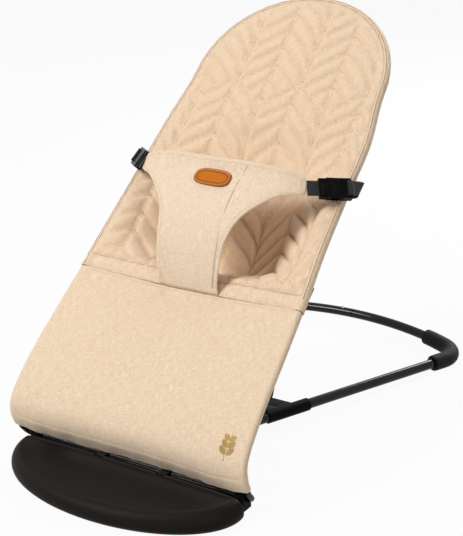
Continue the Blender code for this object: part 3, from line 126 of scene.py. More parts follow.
@dataclass(frozen=True)
class Finish:
    """A named surface, with the record's slot that it stands for."""

    name: str
    slot: str
    colour: str
    roughness: float

    def made(self) -> bpy.types.Material:
        """Gives the material, which is built the first time."""
        material = bpy.data.materials.get(self.name)
        if material is None:
            material = bpy.data.materials.new(self.name)
            material.use_nodes = True
            plain = {"Base Color": linear(self.colour), "Roughness": self.roughness}
            set_inputs(material.node_tree.nodes["Principled BSDF"], plain | self.surface(material.node_tree))
        return material

    def surface(self, tree: bpy.types.NodeTree) -> dict[str, Any]:
        """Adds the finish's own nodes, and gives the shader's inputs that they feed."""
        raise NotImplementedError


@dataclass(frozen=True)
class WovenCloth(Finish):
    """Plain woven cotton and linen: crossed threads, thicker slubs, and a melange of two yarns.

    Real threads are 0.35 mm apart. They are drawn at thread_mm, so that the weave shows at all.
    """

    dark_yarn: str = "#C9A57C"
    pale_yarn: str = "#F6E4CC"
    thread_mm: float = 0.9
    depth: float = 0.35
    melange: float = 0.55
    sheen: float = 0.25
    slub_mm: tuple = ((10.0, 0.9), (0.9, 12.0))

    def surface(self, tree: bpy.types.NodeTree) -> dict[str, Any]:
        """Builds the weave on the piece's own UV map, which is in metres along the cloth."""
        uv = add_node(tree, "ShaderNodeUVMap", uv_map="cloth")
        threads = {"Vector": uv, "Scale": wave_scale(self.thread_mm)}
        threads |= {"Distortion": 1.2, "Detail": 2.0, "Detail Scale": 0.6}
        waves = [add_node(tree, "ShaderNodeTexWave", threads, "Fac", bands_direction=way) for way in "XY"]
        slubs = []
        for across, along in self.slub_mm:
            placed = add_node(
                tree, "ShaderNodeMapping", {"Vector": uv, "Scale": (1 / (across * MM), 1 / (along * MM), 1.0)}
            )
            thick = {"Vector": placed, "Scale": 1.0, "Detail": 3.0, "Roughness": 0.6}
            slubs.append(add_node(tree, "ShaderNodeTexNoise", thick))
        crossed = add_node(tree, "ShaderNodeMath", {0: waves[0], 1: waves[1]}, operation="MULTIPLY")
        slubbed = add_node(tree, "ShaderNodeMath", {0: slubs[0], 1: slubs[1]}, operation="ADD")
        spread = add_node(tree, "ShaderNodeMapRange", {"Value": slubbed, "From Min": 0.78, "From Max": 1.22})
        yarns = {"Factor": spread, 6: linear(self.dark_yarn), 7: linear(self.pale_yarn)}
        cloudy = add_node(tree, "ShaderNodeTexNoise", {"Vector": uv, "Scale": 22.0, "Detail": 3.0})
        patches = {"Value": cloudy, "From Min": 0.3, "From Max": 0.7, "To Min": 0.75, "To Max": 1.0}
        patchy = add_node(tree, "ShaderNodeMapRange", patches)
        amount = add_node(tree, "ShaderNodeMath", {0: patchy, 1: self.melange}, operation="MULTIPLY")
        yarn = add_node(tree, "ShaderNodeMix", yarns, 2, data_type="RGBA")
        tones = {"Factor": amount, 6: linear(self.colour), 7: yarn}
        height = add_node(tree, "ShaderNodeMath", {0: crossed, 1: slubbed}, operation="ADD")
        relief = {"Height": height, "Strength": self.depth, "Distance": 0.0006}
        return {
            "Base Color": add_node(tree, "ShaderNodeMix", tones, 2, data_type="RGBA"),
            "Normal": add_node(tree, "ShaderNodeBump", relief),
            "Sheen Weight": self.sheen,
            "Sheen Roughness": 0.55,
            "Specular IOR Level": 0.25,
        }


@dataclass(frozen=True)
class RibbedWebbing(Finish):
    """Woven polypropylene webbing: ribs across the strap, with painted shade between them, and the sheen of plastic
    yarn.
    """

    rib_mm: float = 1.6
    warp_mm: float = 0.9
    # The groove colour is painted shade, darker between the ribs
    groove: str = "#0C0D0D"

    def surface(self, tree: bpy.types.NodeTree) -> dict[str, Any]:
        """Builds the ribs on the strap's UV map, metres along in U and across in V."""
        uv = add_node(tree, "ShaderNodeUVMap", uv_map="cloth")
        ribbed = {"Vector": uv, "Scale": wave_scale(self.rib_mm), "Distortion": 0.6, "Detail": 1.0}
        ribs = add_node(tree, "ShaderNodeTexWave", ribbed, "Fac", bands_direction="X")
        warped = {"Vector": uv, "Scale": wave_scale(self.warp_mm), "Distortion": 0.3}
        warp = add_node(tree, "ShaderNodeTexWave", warped, "Fac", bands_direction="Y")
        woven = add_node(tree, "ShaderNodeMath", {0: ribs, 1: warp}, operation="ADD")
        # Painted shade: the groove colour fills the spaces between the ribs
        tones = {"Factor": ribs, 6: linear(self.groove), 7: linear(self.colour)}
        return {
            "Base Color": add_node(tree, "ShaderNodeMix", tones, 2, data_type="RGBA"),
            "Normal": add_node(tree, "ShaderNodeBump", {"Height": woven, "Strength": 0.8, "Distance": 0.0005}),
            "Specular IOR Level": 0.25,
            "Sheen Weight": 0.06,
        }


@dataclass(frozen=True)
class MouldedPlastic(Finish):
    """Injection-moulded polypropylene or acetal: fine spark texture, slow waviness, faint scuffs."""

    grain_mm: float = 0.8
    grain: float = 0.08
    scuff: str = "#3A3532"
    scuffing: float = 0.25
    gloss: float = 0.25

    def surface(self, tree: bpy.types.NodeTree) -> dict[str, Any]:
        """Builds the grain and scuffs on Object coordinates."""
        where = add_node(tree, "ShaderNodeTexCoord", out="Object")
        sparks = {"Vector": where, "Scale": 1 / (self.grain_mm * MM), "Detail": 2.0}
        fine = add_node(tree, "ShaderNodeTexNoise", sparks)
        waves = add_node(tree, "ShaderNodeTexNoise", {"Vector": where, "Scale": 18.0, "Detail": 1.0})
        wear = add_node(tree, "ShaderNodeTexNoise", {"Vector": where, "Scale": 60.0, "Detail": 6.0, "Roughness": 0.7})
        scuffed = {"Value": wear, "From Min": 0.52, "From Max": 0.75, "To Max": self.scuffing}
        worn = add_node(tree, "ShaderNodeMapRange", scuffed)
        dulled = {"Value": wear, "To Min": self.roughness * 0.85, "To Max": self.roughness * 1.2}
        slow = add_node(tree, "ShaderNodeBump", {"Height": waves, "Strength": 0.15, "Distance": 0.002})
        grained = {"Height": fine, "Strength": self.grain, "Distance": 0.0004, "Normal": slow}
        tones = {"Factor": worn, 6: linear(self.colour), 7: linear(self.scuff)}
        return {
            "Base Color": add_node(tree, "ShaderNodeMix", tones, 2, data_type="RGBA"),
            "Roughness": add_node(tree, "ShaderNodeMapRange", dulled),
            "Normal": add_node(tree, "ShaderNodeBump", grained),
            "Specular IOR Level": self.gloss,
        }


@dataclass(frozen=True)
class StoveEnamel(Finish):
    """Gloss black enamel on steel tube: a hard clear skin with faint orange peel, and a painted highlight on the
    peel's high spots.
    """

    peel_mm: float = 2.5
    # A paler tone painted on the peel's high spots as a highlight
    peel_highlight: str = "#161816"

    def surface(self, tree: bpy.types.NodeTree) -> dict[str, Any]:
        """Builds the orange peel on Object coordinates."""
        where = add_node(tree, "ShaderNodeTexCoord", out="Object")
        bumps = {"Vector": where, "Scale": 1 / (self.peel_mm * MM), "Detail": 1.0}
        peel = add_node(tree, "ShaderNodeTexNoise", bumps)
        # Painted highlight: the peel's high spots are paler
        tones = {"Factor": peel, 6: linear(self.colour), 7: linear(self.peel_highlight)}
        return {
            "Base Color": add_node(tree, "ShaderNodeMix", tones, 2, data_type="RGBA"),
            "Normal": add_node(tree, "ShaderNodeBump", {"Height": peel, "Strength": 0.12, "Distance": 0.0004}),
            "Specular IOR Level": 0.05,
            "Coat Weight": 0.35,
            "Coat Roughness": 0.06,
        }


@dataclass(frozen=True)
class MouldedRubber(Finish):
    """Soft moulded rubber: matt, with a fine pebble and dusty high spots."""

    pebble_mm: float = 1.1
    dust: str = "#232422"

    def surface(self, tree: bpy.types.NodeTree) -> dict[str, Any]:
        """Builds the pebble on Object coordinates."""
        where = add_node(tree, "ShaderNodeTexCoord", out="Object")
        pebble = add_node(tree, "ShaderNodeTexVoronoi", {"Vector": where, "Scale": 1 / (self.pebble_mm * MM)})
        dusty = add_node(tree, "ShaderNodeTexNoise", {"Vector": where, "Scale": 90.0, "Detail": 5.0})
        tones = {"Factor": dusty, 6: linear(self.colour), 7: linear(self.dust)}
        return {
            "Base Color": add_node(tree, "ShaderNodeMix", tones, 2, data_type="RGBA"),
            "Normal": add_node(tree, "ShaderNodeBump", {"Height": pebble, "Strength": 0.25, "Distance": 0.0004}),
            "Specular IOR Level": 0.15,
        }


@dataclass(frozen=True)
class PatchLeather(Finish):
    """Vegetable-tanned leather, pressed and burnished: fine grain, cloudy dye, darker towards its cut edge."""

    pale: str = "#C6741F"
    burnt: str = "#5E2404"
    grain_mm: float = 0.7

    def surface(self, tree: bpy.types.NodeTree) -> dict[str, Any]:
        """Builds the grain, with the edge and the pressed line from the mesh's own attribute."""
        where = add_node(tree, "ShaderNodeTexCoord", out="Object")
        grain = add_node(tree, "ShaderNodeTexVoronoi", {"Vector": where, "Scale": 1 / (self.grain_mm * MM)})
        dye = add_node(tree, "ShaderNodeTexNoise", {"Vector": where, "Scale": 160.0, "Detail": 4.0})
        pressed = add_node(tree, "ShaderNodeAttribute", out="Fac", attribute_name="pressed")
        dyed = {"Factor": dye, 6: linear(self.colour), 7: linear(self.pale)}
        body = add_node(tree, "ShaderNodeMix", dyed, 2, data_type="RGBA")
        tones = {"Factor": pressed, 6: body, 7: linear(self.burnt)}
        return {
            "Base Color": add_node(tree, "ShaderNodeMix", tones, 2, data_type="RGBA"),
            "Normal": add_node(tree, "ShaderNodeBump", {"Height": grain, "Strength": 0.3, "Distance": 0.0003}),
            "Specular IOR Level": 0.12,
        }


@dataclass(frozen=True)
class SewingThread(Finish):
    """Polyester sewing thread: a bright yarn, with painted shade in the twist's grooves."""

    # How dark the painted shade in the twist's grooves is, as a share of the yarn's colour
    groove_shade_share: float = 0.6

    def surface(self, tree: bpy.types.NodeTree) -> dict[str, Any]:
        """Builds the twist as a fine slanting wave on Object coordinates, with painted shade in its grooves."""
        where = add_node(tree, "ShaderNodeTexCoord", out="Object")
        slanting = {"Vector": where, "Scale": 700.0}
        twist = add_node(tree, "ShaderNodeTexWave", slanting, "Fac", bands_direction="DIAGONAL")
        # The twist's grooves get painted shade: the yarn's colour, darkened
        groove_shade = tuple(c * self.groove_shade_share for c in linear(self.colour)[:3]) + (1.0,)
        tones = {"Factor": twist, 6: groove_shade, 7: linear(self.colour)}
        return {"Base Color": add_node(tree, "ShaderNodeMix", tones, 2, data_type="RGBA"), "Sheen Weight": 0.4}


@dataclass(frozen=True)
class ZincPlate(Finish):
    """Bright zinc plating on steel: a soft metal sheen with cloudy roughness."""

    def surface(self, tree: bpy.types.NodeTree) -> dict[str, Any]:
        """Builds the cloudy plating on Object coordinates."""
        where = add_node(tree, "ShaderNodeTexCoord", out="Object")
        cloud = add_node(tree, "ShaderNodeTexNoise", {"Vector": where, "Scale": 700.0, "Detail": 3.0})
        rough = add_node(tree, "ShaderNodeMapRange", {"Value": cloud, "To Min": 0.22, "To Max": 0.48})
        return {"Roughness": rough, "Metallic": 1.0}


# Linen and cotton melange of the whole cover: warm sand, paler on the tight front panels
PANEL_CLOTH = WovenCloth("woven_linen_panel", "sand_cloth", "#EED5B8", 0.88)
CHEST_CLOTH = WovenCloth("woven_linen_restraint", "sand_cloth", "#F0DAC0", 0.88)
QUILT_CLOTH = WovenCloth("woven_cotton_quilted", "quilted_cloth", "#EED1B2", 0.9, thread_mm=0.8, melange=0.45)
BACK_CLOTH = WovenCloth("woven_cotton_backing", "sand_cloth", "#E4C9A6", 0.92, melange=0.4)
# Smooth white satin of the tag
TAG_CLOTH = WovenCloth(
    "woven_satin_tag", "sand_cloth", "#F2F1EE", 0.5, dark_yarn="#D8D7D4", pale_yarn="#FFFFFF", thread_mm=0.5
)
# Near-black webbing and plastics: the buckles are the smoothest, the foot plate has a warm, dull tread
STRAP_WEBBING = RibbedWebbing("woven_polypropylene_webbing", "black_webbing", "#151816", 0.6)
PLATE_PLASTIC = MouldedPlastic(
    "moulded_polypropylene_plate", "black_plastic", "#1A1614", 0.5, scuff="#241F1D", scuffing=0.3, gloss=0.06
)
FITTING_PLASTIC = MouldedPlastic("moulded_nylon_fittings", "black_plastic", "#0F100E", 0.5, gloss=0.03)
BUCKLE_PLASTIC = MouldedPlastic("moulded_acetal_buckle", "black_plastic", "#080908", 0.24, grain=0.04, gloss=0.04)
TUBE_ENAMEL = StoveEnamel("stove_enamelled_steel", "black_enamel", "#0B0C0B", 0.16)
GRIP_RUBBER = MouldedRubber("moulded_rubber_grips", "black_rubber", "#141513", 0.7)
# The one warm accent, and the threads: sand on plain seams, straw on the quilting, rust round the back's edge, whose
# dark colour is painted shade standing for the seam's shadow gap
PATCH_LEATHER = PatchLeather("tanned_leather_patch", "tan_leather", "#B4600F", 0.5)
SAND_THREAD = SewingThread("sewing_thread_sand", "sand_cloth", "#E3C08E", 0.6)
QUILT_THREAD = SewingThread("sewing_thread_straw", "sand_cloth", "#D6AE6A", 0.6)
RUST_THREAD = SewingThread("sewing_thread_rust", "sand_cloth", "#A8694E", 0.6)
GOLD_THREAD = SewingThread("embroidery_thread_gold", "sand_cloth", "#DDB667", 0.4)
SCREW_ZINC = ZincPlate("zinc_plated_steel_screws", "zinc_steel", "#B4B5B3", 0.3)


# Making and placing pieces


def link(name: str, mesh: bpy.types.Mesh) -> bpy.types.Object:
    """Puts a mesh in the scene as an object at the origin, with its place in its own points."""
    made = bpy.data.objects.new(name, mesh)
    bpy.context.scene.collection.objects.link(made)
    return made


def dress(piece: bpy.types.Object, finish: Finish) -> bpy.types.Object:
    """Gives a piece its finish."""
    piece.data.materials.clear()
    piece.data.materials.append(finish.made())
    return piece


def seat_on(piece: bpy.types.Object, finish: Finish, body: Body, *nodes: str) -> bpy.types.Object:
    """Dresses a piece and makes it ride on a body, in place of CAD nodes where it has them.

    Args:
        piece: A new piece.
        finish: The finish of all of it.
        body: The body that it moves with.
        nodes: The CAD nodes that it stands for.

    Returns:
        The same piece.
    """
    dress(piece, finish)
    if nodes:
        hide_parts(*nodes)
    LOG.info("%s: %d faces, rides on %s", piece.name, len(piece.data.polygons), body.value)
    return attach(piece, body.value)


@contextmanager
def edited(mesh: bpy.types.Mesh) -> Iterator[bmesh.types.BMesh]:
    """Opens a mesh for changes, and writes them back with smooth shading."""
    bm = bmesh.new()
    bm.from_mesh(mesh)
    yield bm
    bm.to_mesh(mesh)
    bm.free()
    mesh.shade_smooth()


def close_rims(bm: bmesh.types.BMesh, above: float = -math.inf) -> None:
    """Closes the openings whose rims lie above a height."""
    rims = [e for e in bm.edges if e.is_boundary and e.verts[0].co.z > above]
    bmesh.ops.holes_fill(bm, edges=rims, sides=0)


def set_uv(mesh: bpy.types.Mesh, uv: np.ndarray) -> None:
    """Stores a UV map named cloth from one pair a point, in metres."""
    layer = mesh.uv_layers.new(name="cloth")
    corners = np.zeros(len(mesh.loops), np.int32)
    mesh.loops.foreach_get("vertex_index", corners)
    layer.data.foreach_set("uv", np.asarray(uv, np.float32)[corners].ravel())


def grid_mesh(name: str, points: np.ndarray, uv: np.ndarray | None = None, around: bool = False) -> bpy.types.Object:
    """Makes a piece from rows of points.

    Args:
        name: The piece's name.
        points: Rows by columns by 3.
        uv: Rows by columns by 2, in metres along the cloth.
        around: Whether each row closes on itself.

    Returns:
        The piece, with its faces outwards where rows run up and columns run to the right.
    """
    rows, columns = points.shape[:2]
    index = np.arange(rows * columns).reshape(rows, columns)
    right = np.roll(index, -1, axis=1) if around else index[:, 1:]
    left = index if around else index[:, :-1]
    faces = np.stack([left[:-1], right[:-1], right[1:], left[1:]], -1).reshape(-1, 4)
    mesh = bpy.data.meshes.new(name)
    mesh.from_pydata(points.reshape(-1, 3).tolist(), [], faces.tolist())
    if uv is not None:
        set_uv(mesh, uv.reshape(-1, 2))
    mesh.shade_smooth()
    return link(name, mesh)


def thicken(piece: bpy.types.Object, thickness: float, offset: float = -1) -> bpy.types.Object:
    """Adds a wall to a sheet: offset -1 puts it behind the faces, 0 on both sides of them."""
    step = piece.modifiers.new("wall", "SOLIDIFY")
    step.thickness = thickness
    step.offset = offset
    return piece


def cloth_sheet(
    name: str, points: np.ndarray, uv: np.ndarray, finish: Finish, *nodes: str, cloth: float = CLOTH
) -> bpy.types.Object:
    """Makes one cloth of the seat, with its thickness behind its faces.

    Args:
        name: The piece's name.
        points: Rows by columns by 3.
        uv: Rows by columns by 2, in metres along the cloth.
        finish: The finish of all of it.
        nodes: The CAD nodes that it stands for.
        cloth: Its thickness.

    Returns:
        The piece, which rides on the seat.
    """
    return seat_on(thicken(grid_mesh(name, points, uv), cloth), finish, Body.SEAT, *nodes)


def plain_mesh(piece: bpy.types.Object) -> bpy.types.Object:
    """Turns a piece with modifiers into a plain mesh of the same name."""
    bpy.context.view_layer.update()
    made = bpy.data.meshes.new_from_object(piece.evaluated_get(bpy.context.evaluated_depsgraph_get()))
    made.name = piece.name
    piece.modifiers.clear()
    piece.data = made
    return piece


def swept_tube(
    name: str, path: Sequence[Any], radii: float | Sequence[float], sides: int = 32, loop: bool = False
) -> bpy.types.Object:
    """Sweeps a round section along a path.

    Args:
        name: The piece's name.
        path: Points, in metres.
        radii: One radius, or one for each point.
        sides: How many faces go round.
        loop: Whether the path closes on itself.

    Returns:
        The piece, closed at its ends.
    """
    route = np.array([tuple(p) for p in path], float)
    radii = np.broadcast_to(np.asarray(radii, float), (len(route),))
    if loop:
        along = np.roll(route, -1, axis=0) - np.roll(route, 1, axis=0)
    else:
        along = np.gradient(route, axis=0)
    along /= np.linalg.norm(along, axis=1)[:, None]
    side = np.cross(along[0], (0.0, 0.0, 1.0))
    if np.linalg.norm(side) < 0.1:
        side = np.cross(along[0], (1.0, 0.0, 0.0))
    angles = np.linspace(0, math.tau, sides, endpoint=False)
    rings = []
    for place, way, radius in zip(route, along, radii):
        side = side - way * (side @ way)
        side /= np.linalg.norm(side)
        up = np.cross(way, side)
        rings.append(place + radius * (np.outer(np.cos(angles), side) + np.outer(np.sin(angles), up)))
    if loop:
        rings.append(rings[0])
    piece = grid_mesh(name, np.array(rings), around=True)
    with edited(piece.data) as bm:
        if loop:
            bmesh.ops.remove_doubles(bm, verts=bm.verts[:], dist=1e-6)
        else:
            close_rims(bm)
        bmesh.ops.recalc_face_normals(bm, faces=bm.faces[:])
    piece.data.set_sharp_from_angle(angle=math.radians(50))
    return piece


def rounded_path(corners: Sequence[Any], radii: Sequence[float], steps: int = 14) -> list[Vector]:
    """Makes a path through corners, each turned with its own radius.

    Args:
        corners: The corners, ends included.
        radii: One for each inner corner.
        steps: Points on each turn.

    Returns:
        The path's points.
    """
    corners = [Vector(c) for c in corners]
    points = [corners[0]]
    for before, corner, after, radius in zip(corners, corners[1:], corners[2:], radii):
        way_in = (corner - before).normalized()
        way_out = (after - corner).normalized()
        turn = way_in.angle(way_out)
        centre = corner + (way_out - way_in).normalized() * (radius / math.cos(turn / 2))
        first = corner - way_in * radius * math.tan(turn / 2) - centre
        for step in range(steps):
            angle = turn * step / (steps - 1)
            points.append(centre + first * math.cos(angle) + way_in * radius * math.sin(angle))
    return points + [corners[-1]]


def ease(value: np.ndarray | float) -> np.ndarray | float:
    """Rises smoothly from 0 to 1 as its argument does."""
    share = np.clip(value, 0, 1)
    return share * share * (3 - 2 * share)


def quarter(value: np.ndarray) -> np.ndarray:
    """Rises from 0 to 1 as a quarter circle does, steeply at first."""
    return np.sqrt(1 - (1 - np.clip(value, 0, 1)) ** 2)


def bell(distance: np.ndarray | float, reach: float) -> np.ndarray | float:
    """Gives 1 at no distance, and hardly anything beyond twice the reach."""
    return np.exp(-((distance / reach) ** 2))


def lengths_along(line: np.ndarray) -> np.ndarray:
    """Gives the length gone at each point of a line."""
    return np.concatenate([[0], np.cumsum(np.linalg.norm(np.diff(line, axis=0), axis=1))])


def runs(kept: np.ndarray, least: int) -> list[np.ndarray]:
    """Gives the unbroken runs of kept places, as their numbers, that have at least so many."""
    parts = np.split(np.arange(len(kept)), np.where(np.diff(kept.astype(int)) != 0)[0] + 1)
    return [part for part in parts if kept[part[0]] and len(part) >= least]


def ripples(x: np.ndarray, s: np.ndarray, size: float, seed: int, waves: int = 7) -> np.ndarray:
    """Gives slow random waves from -1 to 1, the same at each run.

    Args:
        x: Places across, in metres.
        s: Places along, in metres.
        size: The usual length of a wave, in metres.
        seed: Which waves.
        waves: How many of them add up.

    Returns:
        One value for each place.
    """
    chance = np.random.default_rng(seed)
    ways, shifts = chance.uniform(0, math.tau, waves), chance.uniform(0, math.tau, waves)
    total = np.zeros(np.broadcast(x, s).shape)
    for angle, shift, share in zip(ways, shifts, chance.uniform(0.6, 1.6, waves)):
        total += np.sin((x * math.cos(angle) + s * math.sin(angle)) * math.tau / (size * share) + shift)
    return total * 2 / waves


def smooth_curve(rows: Sequence[Sequence[float]], per_span: int) -> np.ndarray:
    """Makes a smooth curve through points, with so many steps between two of them."""
    known = np.array(rows, float)
    ends = np.vstack([2 * known[0] - known[1], known, 2 * known[-1] - known[-2]])
    curve = []
    for p0, p1, p2, p3 in zip(ends, ends[1:], ends[2:], ends[3:]):
        for t in np.arange(per_span) / per_span:
            bend = (p0 * 2 - p1 * 5 + p2 * 4 - p3) * t**2
            twist = (p1 * 3 - p0 - p2 * 3 + p3) * t**3
            curve.append((p1 * 2 + (p2 - p0) * t + bend + twist) / 2)
    return np.array(curve + [known[-1]])


@dataclass
class SeatSurface:
    """The surface through the wires of the seat, and the cover that hangs from it."""

    # Behind the hinge, above the floor, and half the width across, from the hem to the top
    stations: tuple = (
        (-0.0120, 0.0380, 0.1720),
        (-0.0225, 0.0620, 0.1725),
        (-0.0180, 0.0870, 0.1710),
        (0.0160, 0.1250, 0.1690),
        (0.0700, 0.1705, 0.1660),
        (0.1240, 0.2150, 0.1620),
        (0.1860, 0.2690, 0.1560),
        (0.2510, 0.3220, 0.1525),
        (0.3180, 0.3750, 0.1500),
        (0.3780, 0.4310, 0.1400),
        (0.4730, 0.5236, 0.1400),
    )
    waist_station: int = 5
    round_station: int = 9
    tunnel_radius: float = 0.0054
    sling_inset: float = 0.0072
    pocket_start: float = 0.018
    pocket_depth: float = 0.088
    pocket_length: float = 0.265
    pocket_lowest: float = 0.22
    pocket_side_power: float = 1.6
    waist_drop: float = 0.0055
    waist_reach: float = 0.035
    slope_reach: float = 0.006
    steps: int = 24
    spare: float = 0.04

    def __post_init__(self) -> None:
        """Works out the side view, with lengths along it, once."""
        side = smooth_curve([(y, z) for y, z, _ in self.stations], self.steps)
        lengths = lengths_along(side)
        marks = lengths[:: self.steps]
        self.length = float(lengths[-1])
        self.waist = float(marks[self.waist_station])
        self.round_start = float(marks[self.round_station])
        self.top_half_width = self.stations[self.round_station][2]
        self.widths = smooth_curve([(m, row[2]) for m, row in zip(marks, self.stations)], self.steps)
        way = (side[-1] - side[-2]) / np.linalg.norm(side[-1] - side[-2])
        self.side = np.vstack([side, side[-1] + way * self.spare])
        self.lengths = np.append(lengths, self.length + self.spare)

    def half_width(self, s: Any) -> np.ndarray:
        """Gives half the distance between the wires at lengths s along them."""
        s = np.asarray(s, float)
        share = np.clip((s - self.round_start) / (self.length - self.round_start), 0, 1)
        return np.where(
            s <= self.round_start,
            np.interp(s, self.widths[:, 0], self.widths[:, 1]),
            self.top_half_width * np.sqrt(1 - share**2),
        )

    def inner_width(self, s: Any, inset: float) -> np.ndarray:
        """Gives half the width inside a line at an even distance from the wire."""
        s = np.asarray(s, float)
        share = np.clip((s - self.round_start) / (self.length - inset - self.round_start), 0, 1)
        rounded = (self.top_half_width - inset) * np.sqrt(1 - share**2)
        return np.where(s <= self.round_start, self.half_width(s) - inset, rounded)

    def edge_distance(self, x: Any, s: Any, inset: float) -> np.ndarray:
        """Gives how far places lie inside the line at a distance from the wire."""
        x, s = np.asarray(x, float), np.asarray(s, float)
        wide = self.top_half_width - inset
        tall = self.length - self.round_start - inset
        round_part = (1 - np.hypot(x / wide, (s - self.round_start) / tall)) * tall
        return np.where(s <= self.round_start, self.inner_width(s, inset) - abs(x), round_part)

    def side_view(self, s: np.ndarray) -> np.ndarray:
        """Gives how far behind the hinge and how high the wires are at lengths s along them."""
        return np.array([np.interp(s, self.lengths, axis) for axis in self.side.T])

    def outward(self, x: Any, wide: Any) -> np.ndarray:
        """Gives how far out places lie, from 0 in the middle to 1 at half the width."""
        return np.clip(abs(np.asarray(x, float)) / np.maximum(wide, 1e-6), 0, 1)

    def point(self, x: Any, s: Any, h: Any = 0.0) -> np.ndarray:
        """Places points on the seat.

        Args:
            x: Metres across.
            s: Metres up the seat from its hem.
            h: Metres off the surface, towards the child.

        Returns:
            Points in the frame, in the last axis of the array.
        """
        x, s, h = np.broadcast_arrays(np.asarray(x, float), np.asarray(s, float), np.asarray(h, float))
        y, z = self.side_view(s)
        ahead = self.side_view(np.minimum(s + self.slope_reach, self.length + self.spare))
        dy, dz = ahead - self.side_view(np.maximum(s - self.slope_reach, 0))
        size = np.hypot(dy, dz)
        return np.stack([x, y - h * dz / size + HINGE_Y, z + h * dy / size], -1)

    def pocket(self, x: Any, s: Any) -> np.ndarray:
        """Gives how far the cover hangs behind the wires, where the child sits."""
        up = (np.asarray(s, float) - self.waist - self.pocket_start) / (self.pocket_length - self.pocket_start)
        across = self.outward(x, self.inner_width(s, self.sling_inset))
        rise, fall = np.clip(up / self.pocket_lowest, 0, 1), np.clip((1 - up) / (1 - self.pocket_lowest), 0, 1)
        along = np.sin(rise * math.pi / 2) ** 2 * np.sin(fall * math.pi / 2) ** 1.5
        return self.pocket_depth * along * (1 - across**2) ** self.pocket_side_power

    def waist_sag(self, x: Any, s: Any) -> np.ndarray:
        """Gives how far the cover hangs below the wires' plane at the waist seam."""
        across = self.outward(x, self.half_width(s))
        return self.waist_drop * (1 - across**2) ** 2 * bell(np.asarray(s) - self.waist, self.waist_reach)

    def cover(self, x: Any, s: Any, h: Any = 0.0) -> np.ndarray:
        """Places points a height h off the surface that the cover follows."""
        return self.point(x, s, np.asarray(h) - self.waist_sag(x, s) - self.pocket(x, s))


SEAT = SeatSurface()


class Stitching:
    """Runs of stitches made by Geometry Nodes: a short thread at even steps along each seam line."""

    def __init__(self) -> None:
        """Builds the node tree once, with its sizes as named inputs."""
        self.tree = tree = bpy.data.node_groups.new("stitch_run", "GeometryNodeTree")
        face = tree.interface
        face.new_socket("Geometry", in_out="OUTPUT", socket_type="NodeSocketGeometry")
        face.new_socket("Geometry", in_out="INPUT", socket_type="NodeSocketGeometry")
        self.inputs = {}
        for name in ("Step", "Stitch length", "Thread", "Material"):
            kind = "NodeSocketMaterial" if name == "Material" else "NodeSocketFloat"
            self.inputs[name] = face.new_socket(name, in_out="INPUT", socket_type=kind).identifier
        given = add_node(tree, "NodeGroupInput").node.outputs
        curve = add_node(tree, "GeometryNodeMeshToCurve", {"Mesh": given["Geometry"]})
        even = add_node(tree, "GeometryNodeResampleCurve", {"Curve": curve, "Length": given["Step"]}, mode="LENGTH")
        tangent = add_node(tree, "GeometryNodeInputTangent")
        turn = add_node(tree, "FunctionNodeAlignRotationToVector", {"Vector": tangent}, axis="X")
        sizes = {"X": given["Stitch length"], "Y": given["Thread"], "Z": given["Thread"]}
        size = add_node(tree, "ShaderNodeCombineXYZ", sizes)
        thread = add_node(tree, "GeometryNodeMeshIcoSphere", {"Radius": 0.5, "Subdivisions": 2})
        each = {"Points": even, "Instance": thread, "Rotation": turn, "Scale": size}
        placed = add_node(tree, "GeometryNodeInstanceOnPoints", each)
        real = add_node(tree, "GeometryNodeRealizeInstances", {0: placed})
        smooth = add_node(tree, "GeometryNodeSetShadeSmooth", {0: real})
        dyed = add_node(tree, "GeometryNodeSetMaterial", {"Geometry": smooth, "Material": given["Material"]})
        add_node(tree, "NodeGroupOutput", {0: dyed})

    def sew(
        self, name: str, lines: Iterable[np.ndarray], thread: Finish, step: float = 0.0032, length: float = 0.0024,
        size: float = 0.0007,
    ) -> bpy.types.Object:
        """Sews a piece of stitches along lines on the seat.

        Args:
            name: The piece's name.
            lines: Point rows, one array for each line.
            thread: The thread's finish.
            step: Metres from stitch to stitch.
            length: A stitch's length.
            size: The thread's diameter.

        Returns:
            The stitches, as a plain mesh.
        """
        points, edges = [], []
        for line in lines:
            start = len(points)
            points += [tuple(p) for p in line]
            edges += [(i, i + 1) for i in range(start, len(points) - 1)]
        mesh = bpy.data.meshes.new(name)
        mesh.from_pydata(points, edges, [])
        piece = link(name, mesh)
        sewn = piece.modifiers.new("stitches", "NODES")
        sewn.node_group = self.tree
        for key, value in (("Step", step), ("Stitch length", length), ("Thread", size), ("Material", thread.made())):
            sewn[self.inputs[key]] = value
        return seat_on(plain_mesh(piece), thread, Body.SEAT)


STITCHES = Stitching()


